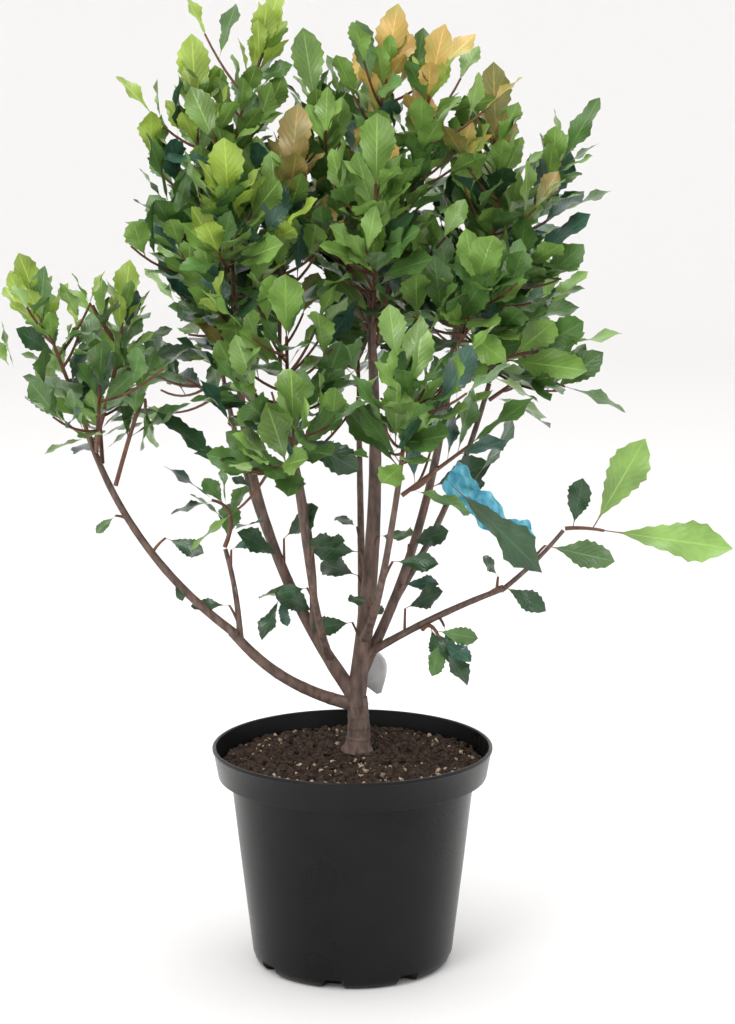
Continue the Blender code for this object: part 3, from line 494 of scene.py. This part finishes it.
# colour and roughness of each leaf kind; 'dark' is the green of leaves in shadow, so it is painted shade
leafLook = {
    "dark": ((0.026, 0.072, 0.026), 0.30), "blue": ((0.040, 0.105, 0.072), 0.28), "mid": ((0.084, 0.178, 0.042), 0.32),
    "bright": ((0.190, 0.330, 0.070), 0.34), "lime": ((0.300, 0.420, 0.060), 0.38),
    "bronze": ((0.270, 0.200, 0.060), 0.36), "orange": ((0.520, 0.340, 0.095), 0.40),
}


youngShade = {"orange": (0.340, 0.360, 0.070), "bronze": (0.130, 0.170, 0.040)}


def newMaterial(name):
    made = bpy.data.materials.new(name)
    made.use_nodes = True
    nodes, links = made.node_tree.nodes, made.node_tree.links
    return made, nodes, links, nodes["Principled BSDF"]


def mixOf(nodes, links, factor, one, two, blend="MIX"):
    mix = nodes.new("ShaderNodeMix")
    mix.data_type = "RGBA"
    mix.blend_type = blend
    for socket, value in ((mix.inputs[0], factor), (mix.inputs[6], one), (mix.inputs[7], two)):
        if isinstance(value, bpy.types.NodeSocket):
            links.new(value, socket)
        else:
            socket.default_value = value if isinstance(value, float) else (*value, 1.0)
    return mix.outputs[2]


def noiseOf(nodes, links, coords, scale, detail=4.0, rough=0.55):
    noise = nodes.new("ShaderNodeTexNoise")
    noise.inputs["Scale"].default_value = scale
    noise.inputs["Detail"].default_value = detail
    noise.inputs["Roughness"].default_value = rough
    links.new(coords, noise.inputs["Vector"])
    return noise.outputs["Fac"]


def rampOf(nodes, links, value, stops):
    ramp = nodes.new("ShaderNodeValToRGB")
    links.new(value, ramp.inputs[0])
    elements = ramp.color_ramp.elements
    while len(elements) < len(stops):
        elements.new(0.5)
    for element, (place, colour) in zip(elements, stops):
        element.position = place
        element.color = (*colour, 1.0) if len(colour) == 3 else colour
    return ramp.outputs[0]


def bumpOf(nodes, links, height, strength, distance, shader):
    bump = nodes.new("ShaderNodeBump")
    bump.inputs["Strength"].default_value = strength
    bump.inputs["Distance"].default_value = distance
    links.new(height, bump.inputs["Height"])
    links.new(bump.outputs[0], shader.inputs["Normal"])


def leafMaterial(kind):
    # pale midrib and side veins from the blade's own map, mottled by object place
    colour, rough = leafLook[kind]
    made, nodes, links, shader = newMaterial("leaf" + kind.capitalize())
    coords = nodes.new("ShaderNodeTexCoord")
    split = nodes.new("ShaderNodeSeparateXYZ")
    links.new(coords.outputs["UV"], split.inputs[0])
    across = nodes.new("ShaderNodeMath")
    across.operation = "SUBTRACT"
    links.new(split.outputs["X"], across.inputs[0])
    across.inputs[1].default_value = 0.5
    width = nodes.new("ShaderNodeMath")
    width.operation = "ABSOLUTE"
    links.new(across.outputs[0], width.inputs[0])
    slanted = nodes.new("ShaderNodeMath")
    slanted.operation = "MULTIPLY_ADD"
    links.new(width.outputs[0], slanted.inputs[0])
    slanted.inputs[1].default_value = -0.55
    links.new(split.outputs["Y"], slanted.inputs[2])
    wave = nodes.new("ShaderNodeMath")
    wave.operation = "MULTIPLY"
    links.new(slanted.outputs[0], wave.inputs[0])
    wave.inputs[1].default_value = 62.0
    sine = nodes.new("ShaderNodeMath")
    sine.operation = "SINE"
    links.new(wave.outputs[0], sine.inputs[0])
    blotch = noiseOf(nodes, links, coords.outputs["Object"], 28.0)
    first = youngShade.get(kind, tuple(c * 0.62 for c in colour))
    shades = rampOf(nodes, links, blotch, ((0.34, first),
                                            (0.55, colour), (0.78, tuple(min(c * 1.5, 1) for c in colour))))
    vein = rampOf(nodes, links, sine.outputs[0], ((0.86, (0, 0, 0)), (1.0, (0.35, 0.35, 0.35))))
    pale = tuple(min(c * 1.4 + 0.02, 1) for c in colour)
    veined = mixOf(nodes, links, vein, shades, pale)
    rib = rampOf(nodes, links, width.outputs[0], ((0.0, (1, 1, 1)), (0.035, (0, 0, 0))))
    ribbed = mixOf(nodes, links, rib, veined, tuple(min(c * 1.5 + 0.025, 1) for c in colour))
    foot = rampOf(nodes, links, split.outputs["Y"], ((0.09, (1, 1, 1)), (0.20, (0, 0, 0))))
    links.new(mixOf(nodes, links, foot, ribbed, (0.190, 0.075, 0.035)), shader.inputs["Base Color"])
    shader.inputs["Roughness"].default_value = rough
    shader.inputs["Specular IOR Level"].default_value = 0.55
    bumpOf(nodes, links, sine.outputs[0], 0.12, 0.0006, shader)
    return made


def toMesh(name, points, faces, mat, uv=None, smooth=True, weld=False):
    mesh = bpy.data.meshes.new(name)
    mesh.vertices.add(len(points))
    mesh.vertices.foreach_set("co", np.asarray(points, dtype=np.float32).ravel())
    faces = np.asarray(faces)
    mesh.loops.add(faces.size)
    mesh.polygons.add(len(faces))
    mesh.polygons.foreach_set("loop_start", np.arange(len(faces)) * faces.shape[1])
    mesh.loops.foreach_set("vertex_index", faces.ravel())
    mesh.update(calc_edges=True)
    mesh.polygons.foreach_set("use_smooth", np.full(len(faces), smooth))
    if uv is not None:
        layer = mesh.uv_layers.new(name="map")
        layer.data.foreach_set("uv", np.asarray(uv)[faces.ravel()].ravel())
    mesh.materials.append(mat)
    if weld:
        work = bmesh.new()
        work.from_mesh(mesh)
        bmesh.ops.remove_doubles(work, verts=work.verts, dist=1e-6)
        work.to_mesh(mesh)
        work.free()
    mesh.validate()
    made = bpy.data.objects.new(name, mesh)
    bpy.context.scene.collection.objects.link(made)
    return made


def gridFaces(rows, columns, closed=False, start=0):
    r, c = np.meshgrid(np.arange(rows - 1), np.arange(columns if closed else columns - 1), indexing="ij")
    n = (c + 1) % columns
    return np.stack([r * columns + c, r * columns + n, (r + 1) * columns + n, (r + 1) * columns + c], -1).reshape(-1, 4) + start


blade = {"rows": 19, "columns": 5, "tooth": 0.075, "wave": 0.050, "cup": 0.20, "arch": 0.10, "stalk": 0.12}


def bladePoints(leaf, rng):
    # half width w(u) = sin(pi u^1.45)^0.85 with teeth; height = cup |v|^1.5 + edge wave - arch u^2
    base, ahead, up, length, width = leaf[:5]
    width = min(width * fine["slimmer"], fine["widest"])
    u = np.linspace(0.0, 1.0, blade["rows"])[:, None]
    v = np.linspace(-1.0, 1.0, blade["columns"])[None, :]
    body = np.clip((u - blade["stalk"]) / (1 - blade["stalk"]), 0, 1)
    half = np.sin(math.pi * body ** 1.45) ** 0.85
    tooth = 1 + blade["tooth"] * np.where(np.arange(blade["rows"])[:, None] % 2 == 0, 1.0, -1.0)
    half = np.maximum(half * tooth, 0.035) * (u < 0.999) + 0.012 * (u >= 0.999)
    sign = 1 if rng.random() < 0.5 else -1
    wave = blade["wave"] * np.sin(u * 13 + rng.uniform(0, 6.28)) * v * np.abs(v) * sign
    fold = blade["cup"] * rng.uniform(0.4, 1.3)
    arch = blade["arch"] * rng.uniform(0.0, 1.2)
    lift = fold * np.abs(v) ** 1.5 * half * width / 2 / length + wave * half - arch * (u ** 2 - u)
    twist = rng.uniform(-0.35, 0.35)
    side = np.cross(ahead, up)
    upright = up * math.cos(twist) + side * math.sin(twist)
    level = np.cross(ahead, upright)
    spread = (v * half * width / 2)[..., None]
    return (base + ahead * (u * length + 0 * v)[..., None] + level * spread + upright * (lift * length)[..., None]).reshape(-1, 3)


def colourOf(name, leaf, rng):
    # leaf colour: young colours near the shoot tips, else a random pick that rises towards the top, on masses whose
    # young colour is 'bright', and towards the outer sides as painted highlight; the lowest picks give 'dark', which is
    # painted shade
    limb, back, tip, leafLength, reach, bow, twigShare, young = masses[name]
    if leaf[6]:
        return leaf[6]
    height = (leaf[0][2] - 0.30) / 0.35
    if leaf[5] > 0.80 and young in ("orange", "bronze", "lime") and rng.random() < 0.75:
        return young
    if leaf[5] > 0.55 and young in ("orange", "bronze", "lime") and rng.random() < 0.5:
        return "bright"
    toneShadeAndHighlight = rng.random() + 0.42 * height + 1.1 * max(abs(leaf[0][0]) - 0.09, 0) + (0.25 if young == "bright" and leaf[5] > 0.5 else 0.0)
    return "dark" if toneShadeAndHighlight < 0.30 else "blue" if toneShadeAndHighlight < 0.40 else "mid" if toneShadeAndHighlight < 0.86 else "bright"


def growCrown():
    rng = random.Random("blades")
    leafSets = {kind: [] for kind in leafLook}
    rows, columns = blade["rows"], blade["columns"]
    tubes = []
    grown = {name: grow(name) for name in masses}
    middles = [leafSamples(leaf)[12:23].mean(axis=0) for name in masses for leaf in grown[name][2]]
    total = 0
    for name in masses:
        stem, twigs, leaves = grown[name]
        more = fillIn(name, stem, twigs, leaves, middles)
        if name == "leaves_tower_top":
            stalks, low = lowShoots()
            leaves += low
            more += stalks
        total += len(leaves)
        tubes.append((stem[::4], np.linspace(growth["stemRadius"], growth["twigRadius"], 11)))
        for twig in twigs + more:
            if twig[:, 0].min() > fine["twigEdge"] and showsTape(twig):
                tubes.append((twig[::2], np.linspace(growth["twigRadius"], growth["twigRadius"] * 0.7, len(twig[::2]))))
        for leaf in [leaf for leaf in leaves if inBox(leafSamples(leaf))
                     and (leaf[6] or showsTape(leafSamples(leaf)))]:
            leafSets[colourOf(name, leaf, rng)].append(bladePoints(leaf, rng))
    u, v = np.meshgrid(np.linspace(0, 1, rows), np.linspace(0, 1, columns), indexing="ij")
    uv = np.stack([v, u], -1).reshape(-1, 2)
    pieces = []
    for kind, blades in leafSets.items():
        if not blades:
            continue
        faces = np.concatenate([gridFaces(rows, columns, start=i * rows * columns) for i in range(len(blades))])
        piece = toMesh("leaves" + kind.capitalize(), np.concatenate(blades), faces, leafMaterial(kind), np.tile(uv, (len(blades), 1)))
        pieces.append(piece)
    points, faces, count = [], [], 0
    for path, radii in tubes:
        rings = carried(path, radii, 6)
        faces.append(gridFaces(len(path), 6, closed=True, start=count))
        points.append(rings.reshape(-1, 3))
        count += len(path) * 6
    twigPiece = toMesh("twigs", np.concatenate(points), np.concatenate(faces), twigMaterial())
    print("leaves", total, {k: len(b) for k, b in leafSets.items()})
    return pieces, twigPiece


def twigMaterial():
    made, nodes, links, shader = newMaterial("youngBark")
    coords = nodes.new("ShaderNodeTexCoord")
    noise = noiseOf(nodes, links, coords.outputs["Object"], 120.0)
    links.new(rampOf(nodes, links, noise, ((0.3, (0.070, 0.022, 0.014)), (0.7, (0.190, 0.085, 0.045)))), shader.inputs["Base Color"])
    shader.inputs["Roughness"].default_value = 0.6
    bumpOf(nodes, links, noise, 0.3, 0.0004, shader)
    return made


def barkMaterial():
    made, nodes, links, shader = newMaterial("oldBark")
    coords = nodes.new("ShaderNodeTexCoord")
    stretch = nodes.new("ShaderNodeMapping")
    stretch.inputs["Scale"].default_value = (1.0, 1.0, 0.28)
    links.new(coords.outputs["Object"], stretch.inputs[0])
    noise = noiseOf(nodes, links, stretch.outputs[0], 260.0, 6.0)
    patch = noiseOf(nodes, links, coords.outputs["Object"], 40.0)
    dark = rampOf(nodes, links, noise, ((0.32, (0.055, 0.038, 0.032)), (0.70, (0.200, 0.150, 0.122))))
    red = rampOf(nodes, links, noise, ((0.32, (0.048, 0.022, 0.018)), (0.70, (0.160, 0.085, 0.062))))
    links.new(mixOf(nodes, links, patch, dark, red), shader.inputs["Base Color"])
    shader.inputs["Roughness"].default_value = 0.72
    bumpOf(nodes, links, noise, 0.7, 0.0012, shader)
    return made


def growWood():
    # tubes with bark relief: radius r(t) (1 + ridges sin(k a + drift) + knots), root flare at the soil
    points, faces, count = [], [], 0
    sides = 20
    angle = np.arange(sides) * 2 * math.pi / sides
    for i, name in enumerate(limbs):
        rows = 60
        path, radii = limbPath(name, rows), limbRadii(name, rows)
        if limbs[name][1] >= 1.0:
            path[0] -= unit(path[1] - path[0]) * 1.6 * radii[0]
        t = np.linspace(0, 1, rows)[:, None]
        ridge = 0.035 * np.sin(3 * angle + 5 * t + i) + 0.025 * np.sin(5 * angle - 9 * t + 2 * i)
        knots = 0.05 * np.maximum(np.sin(t * 31 + i), 0) ** 6
        relief = radii[:, None] * (1 + ridge + knots)
        if limbs[name][0] and limbs[name][1] < 1.0:
            relief *= 1 + 0.35 * np.exp(-t * 14)
        faces.append(gridFaces(rows, sides, closed=True, start=count))
        points.append(carried(path, relief, sides).reshape(-1, 3))
        count += rows * sides
    wood = toMesh("trunkAndBoughs", np.concatenate(points), np.concatenate(faces), barkMaterial())
    return wood


pot = {"height": 0.150, "rim": 0.095, "band": 0.0205, "bandLow": 0.0912, "body": 0.0825, "foot": 0.0625,
       "bulge": 0.0685, "bulgeHeight": 0.007, "wall": 0.0018, "notches": 8, "notchTurn": math.radians(-34)}


def potMaterial():
    made, nodes, links, shader = newMaterial("blackPot")
    coords = nodes.new("ShaderNodeTexCoord")
    stretch = nodes.new("ShaderNodeMapping")
    stretch.inputs["Scale"].default_value = (1.0, 1.0, 0.22)
    links.new(coords.outputs["Object"], stretch.inputs[0])
    scuff = noiseOf(nodes, links, stretch.outputs[0], 95.0, 6.0, 0.7)
    dust = noiseOf(nodes, links, coords.outputs["Object"], 14.0, 5.0, 0.6)
    base = rampOf(nodes, links, dust, ((0.40, (0.0025, 0.0028, 0.0030)), (0.75, (0.007, 0.0072, 0.0076))))
    marks = rampOf(nodes, links, scuff, ((0.66, (0, 0, 0)), (0.80, (0.45, 0.45, 0.45))))
    links.new(mixOf(nodes, links, marks, base, (0.045, 0.047, 0.050)), shader.inputs["Base Color"])
    links.new(rampOf(nodes, links, dust, ((0.3, (0.24, 0.24, 0.24)), (0.8, (0.38, 0.38, 0.38)))), shader.inputs["Roughness"])
    shader.inputs["Specular IOR Level"].default_value = 0.20
    bumpOf(nodes, links, scuff, 0.06, 0.0006, shader)
    return made


def makePot():
    # profile turned about Z; the foot's radius is drawn in at the drain notches
    p = pot
    shelf = p["height"] - p["band"]
    top, wall = p["height"], p["wall"]
    profile = np.array([
        (0.0, 0.0), (0.03, 0.0), (p["foot"] - 0.001, 0.0), (p["foot"] + 0.0025, 0.0008), (p["foot"] + 0.0048, 0.0034),
        (p["bulge"], p["bulgeHeight"]), (p["bulge"] + 0.0006, 0.012), (0.0765, 0.075), (p["body"] - 0.0003, shelf - 0.004),
        (p["body"], shelf - 0.0022), (p["body"] + 0.0012, shelf - 0.0009), (p["bandLow"] - 0.0018, shelf - 0.0002),
        (p["bandLow"] - 0.0004, shelf), (p["bandLow"], shelf + 0.0008), (p["rim"] - 0.0008, top - 0.0030),
        (p["rim"], top - 0.0022), (p["rim"], top - 0.0008), (p["rim"] - 0.0006, top - 0.0001), (p["rim"] - 0.0016, top),
        (p["rim"] - wall - 0.0006, top - 0.0006), (p["rim"] - wall - 0.0010, top - 0.003), (p["bandLow"] - wall, shelf + wall + 0.001),
        (p["body"] - wall, shelf - 0.001), (0.0765, 0.090), (0.0700, 0.020), (0.0, 0.020)])
    sides = 240
    angle = np.arange(sides) * 2 * math.pi / sides
    radius = profile[:, :1] * np.ones(sides)
    step = 2 * math.pi / p["notches"]
    away = (angle - p["notchTurn"] - step / 2) % step
    away = np.minimum(away, step - away)
    notch = np.clip((0.0068 / 0.068 - away) / 0.008, 0, 1)
    rows = (profile[:, 1] < 0.0069) & (profile[:, 0] > 0.055) & (np.arange(len(profile)) < 6)
    radius[rows] -= 0.0075 * notch
    points = np.stack([radius * np.cos(angle), radius * np.sin(angle), profile[:, 1:] * np.ones(sides)], -1).reshape(-1, 3)
    piece = toMesh("nurseryPot", points, gridFaces(len(profile), sides, closed=True), potMaterial(), weld=True)
    piece.data.set_sharp_from_angle(angle=math.radians(38))
    return piece


def soilMaterial(name, stops, rough=0.9):
    made, nodes, links, shader = newMaterial(name)
    coords = nodes.new("ShaderNodeTexCoord")
    noise = noiseOf(nodes, links, coords.outputs["Object"], 300.0, 8.0, 0.7)
    links.new(rampOf(nodes, links, noise, stops), shader.inputs["Base Color"])
    shader.inputs["Roughness"].default_value = rough
    bumpOf(nodes, links, noise, 0.9, 0.002, shader)
    return made


def soilHeight(x, y):
    share = np.minimum(np.hypot(x, y) / 0.0807, 1.0)
    front = np.maximum(-y, 0.0) / pot["rim"]
    return growth["soilEdge"] + growth["soilMound"] * (1 - share) + growth["soilFront"] * front * share


def makeSoil():
    # height = heap + sums of sines of falling size; crumbs are squashed eight-sided balls scattered by seed
    rng = np.random.default_rng(5)
    rows, sides = 60, 200
    r = np.linspace(0.0, 0.0897, rows)[:, None]
    a = (np.arange(sides) * 2 * math.pi / sides)[None]
    x, y = r * np.cos(a), r * np.sin(a)
    rough = 0 * x
    for k, size in ((260, 0.0012), (520, 0.0009), (1100, 0.0006)):
        turn = rng.uniform(0, 6.28, 4)
        rough += size * np.sin(k * x + turn[0] + 2 * np.sin(k * 0.6 * y + turn[1])) * np.sin(k * y + turn[2])
    z = soilHeight(x, y) + rough * np.minimum(r / 0.01, 1)
    ground = toMesh("soilTop", np.stack([x, y, z], -1).reshape(-1, 3), gridFaces(rows, sides, closed=True),
                    soilMaterial("peat", ((0.30, (0.004, 0.002, 0.001)), (0.55, (0.022, 0.011, 0.006)), (0.75, (0.070, 0.038, 0.021)))), weld=True)
    u = np.linspace(0, math.pi, 5)[:, None]
    w = (np.arange(6) * math.pi / 3)[None]
    ball = np.stack([np.sin(u) * np.cos(w), np.sin(u) * np.sin(w), np.cos(u) + 0 * w], -1).reshape(-1, 3)
    pieces = [ground]
    for name, count, size, stops, front in (
            ("barkBits", 1500, 0.0030, ((0.35, (0.008, 0.004, 0.002)), (0.7, (0.085, 0.044, 0.024))), 0.0),
            ("paleBits", 330, 0.0021, ((0.35, (0.300, 0.200, 0.120)), (0.7, (0.720, 0.600, 0.450))), 0.55)):
        points = []
        for i in range(count):
            radius = 0.0885 * math.sqrt(rng.random()) if rng.random() > front else rng.uniform(0.070, 0.0890)
            turn = rng.uniform(0, 2 * math.pi) if rng.random() > front else rng.uniform(1.12, 1.88) * math.pi
            px, py = radius * math.cos(turn), radius * math.sin(turn)
            if math.hypot(px - 0.0037, py) < 0.011:
                continue
            spin = np.linalg.qr(rng.normal(size=(3, 3)))[0]
            shape = ball * (size * rng.uniform(0.35, 1.2, 3)) * (1 + 0.25 * rng.normal(size=(len(ball), 1)) * 0.6)
            points.append(shape @ spin.T + (px, py, float(soilHeight(px, py)) + 0.0008))
        faces = np.concatenate([gridFaces(5, 6, closed=True, start=i * 30) for i in range(len(points))])
        pieces.append(toMesh(name, np.concatenate(points), faces, soilMaterial(name, stops), smooth=False, weld=True))
    return pieces


def makeTag():
    # a bare oval tag: half width sin(pi t), gently bowed
    t = np.linspace(0, 1, 40)[:, None]
    v = np.linspace(-1, 1, 9)[None]
    low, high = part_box("plant_label")
    top = limbPath("leader", 201)[24] + np.array([0.0010, 0.0074, 0.0])
    foot = vec((0.0180, 0.0270, 0.1790))
    half = 0.0016 + 0.0098 * np.sin(math.pi * np.clip(t, 0, 0.985) ** 0.8)
    across = unit(vec((1.0, 0.25, 0.25)))
    normal = unit(np.cross(across, foot - top))
    points = top + (foot - top) * t[..., None] + across * (half * v)[..., None] + normal * (0.0012 * (v ** 2) * np.sin(math.pi * t))[..., None]
    made, nodes, links, shader = newMaterial("frostedTag")
    coords = nodes.new("ShaderNodeTexCoord")
    noise = noiseOf(nodes, links, coords.outputs["Object"], 60.0)
    links.new(rampOf(nodes, links, noise, ((0.3, (0.42, 0.42, 0.43)), (0.7, (0.66, 0.66, 0.66)))), shader.inputs["Base Color"])
    shader.inputs["Roughness"].default_value = 0.35
    bumpOf(nodes, links, noise, 0.1, 0.0005, shader)
    piece = toMesh("bareTag", points.reshape(-1, 3), gridFaces(40, 9), made)
    thick = piece.modifiers.new("thick", "SOLIDIFY")
    thick.thickness = 0.0006
    return piece


def makeTape():
    # a crumpled ribbon: width and pleats are sines of falling size along and across the path
    path = tapePath(90)
    t = np.linspace(0, 1, 90)[:, None]
    v = np.linspace(-1, 1, 17)[None]
    across = unit(vec((0.55, 0.0, 0.83)))
    half = (0.0055 + 0.003 * np.sin(t * 9.0) ** 2 + 0.0035 * t) * np.minimum(0.5 + t * 6, 1)
    pleat = 0.0016 * np.sin(v * 7 + 14 * t) + 0.0011 * np.sin(v * 13 - 31 * t) + 0.0008 * np.sin(53 * t + 5 * v)
    shift = 0.0010 * np.sin(v * 9 + 40 * t)
    points = path[:, None] + across * (half * v + shift)[..., None] + np.array([0, 1, 0]) * pleat[..., None]
    made, nodes, links, shader = newMaterial("blueFilm")
    coords = nodes.new("ShaderNodeTexCoord")
    noise = noiseOf(nodes, links, coords.outputs["Object"], 90.0)
    links.new(rampOf(nodes, links, noise, ((0.3, (0.045, 0.330, 0.500)), (0.7, (0.200, 0.640, 0.780)))), shader.inputs["Base Color"])
    shader.inputs["Roughness"].default_value = 0.28
    bumpOf(nodes, links, noise, 0.5, 0.001, shader)
    piece = toMesh("blueTape", points.reshape(-1, 3), gridFaces(90, 17), made)
    thick = piece.modifiers.new("thick", "SOLIDIFY")
    thick.thickness = 0.0003
    return piece


studio = {"floor": (0.86, 0.85, 0.845), "world": 1.05}


def makeStudio():
    # a wide pale floor whose edge curves up all round, five soft lamps and a white sky
    turn = np.linspace(0, math.pi / 2, 16)
    profile = np.concatenate([[(0.0, 0.0), (1.0, 0.0), (2.5, 0.0)],
                              np.stack([3.6 + 1.6 * np.sin(turn), 1.6 - 1.6 * np.cos(turn)], -1), [(5.2, 2.2)]])
    angle = (np.arange(64) * 2 * math.pi / 64)[None]
    points = np.stack([profile[:, :1] * np.cos(angle), profile[:, :1] * np.sin(angle),
                       profile[:, 1:] - 0.0004 + 0 * angle], -1).reshape(-1, 3)
    made, nodes, links, shader = newMaterial("paleFloor")
    shader.inputs["Base Color"].default_value = (*studio["floor"], 1.0)
    shader.inputs["Roughness"].default_value = 0.9
    floor = toMesh("floor", points, gridFaces(len(profile), 64, closed=True), made, weld=True)
    for name, place, aim, size, power, colour in (
            ("key", (-0.9, -1.5, 1.7), (0, 0, 0.35), 1.1, 26.0, (1.0, 0.99, 0.97)),
            ("fill", (1.3, -1.2, 1.1), (0, 0, 0.35), 1.2, 15.0, (1.0, 1.0, 1.0)),
            ("leftEdge", (-1.0, 0.50, 0.30), (0, 0, 0.12), 0.45, 22.0, (1.0, 1.0, 1.0)),
            ("rightEdge", (1.0, 0.50, 0.30), (0, 0, 0.12), 0.45, 22.0, (1.0, 1.0, 1.0)),
            ("top", (0.0, 0.2, 2.0), (0, 0, 0.3), 1.4, 18.0, (1.0, 1.0, 1.0))):
        lamp = bpy.data.lights.new(name, "AREA")
        lamp.energy, lamp.size, lamp.color = power, size, colour
        made = bpy.data.objects.new(name, lamp)
        bpy.context.scene.collection.objects.link(made)
        made.location = place
        way = vec(aim) - vec(place)
        made.rotation_euler = (math.atan2(math.hypot(way[0], way[1]), -way[2]), 0, math.atan2(way[0], -way[1]) * -1 + math.pi)
    world = bpy.data.worlds.new("room")
    bpy.context.scene.world = world
    world.use_nodes = True
    world.node_tree.nodes["Background"].inputs[0].default_value = (1, 1, 1, 1)
    world.node_tree.nodes["Background"].inputs[1].default_value = studio["world"]
    camera = bpy.data.cameras.new("camera")
    camera.lens = view["lens"]
    camera.sensor_width = 36.0
    seen = bpy.data.objects.new("camera", camera)
    bpy.context.scene.collection.objects.link(seen)
    seen.location = view["place"]
    seen.rotation_euler = (math.pi / 2 - view["down"], 0, 0)
    bpy.context.scene.camera = seen
    bpy.context.scene.view_settings.view_transform = "Standard"


makeStudio()
print("studio made")
leafPieces, twigPiece = growCrown()
wood = growWood()
potPiece = makePot()
soilPieces = makeSoil()
tag = makeTag()
tape = makeTape()
print("pieces made")

for piece in leafPieces + [twigPiece, wood, potPiece, tag, tape] + soilPieces:
    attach(piece, "root")
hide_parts(*masses)
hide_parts(*limbs)
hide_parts("pot")
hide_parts("soil")
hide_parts("plant_label")
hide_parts("marker_tape")
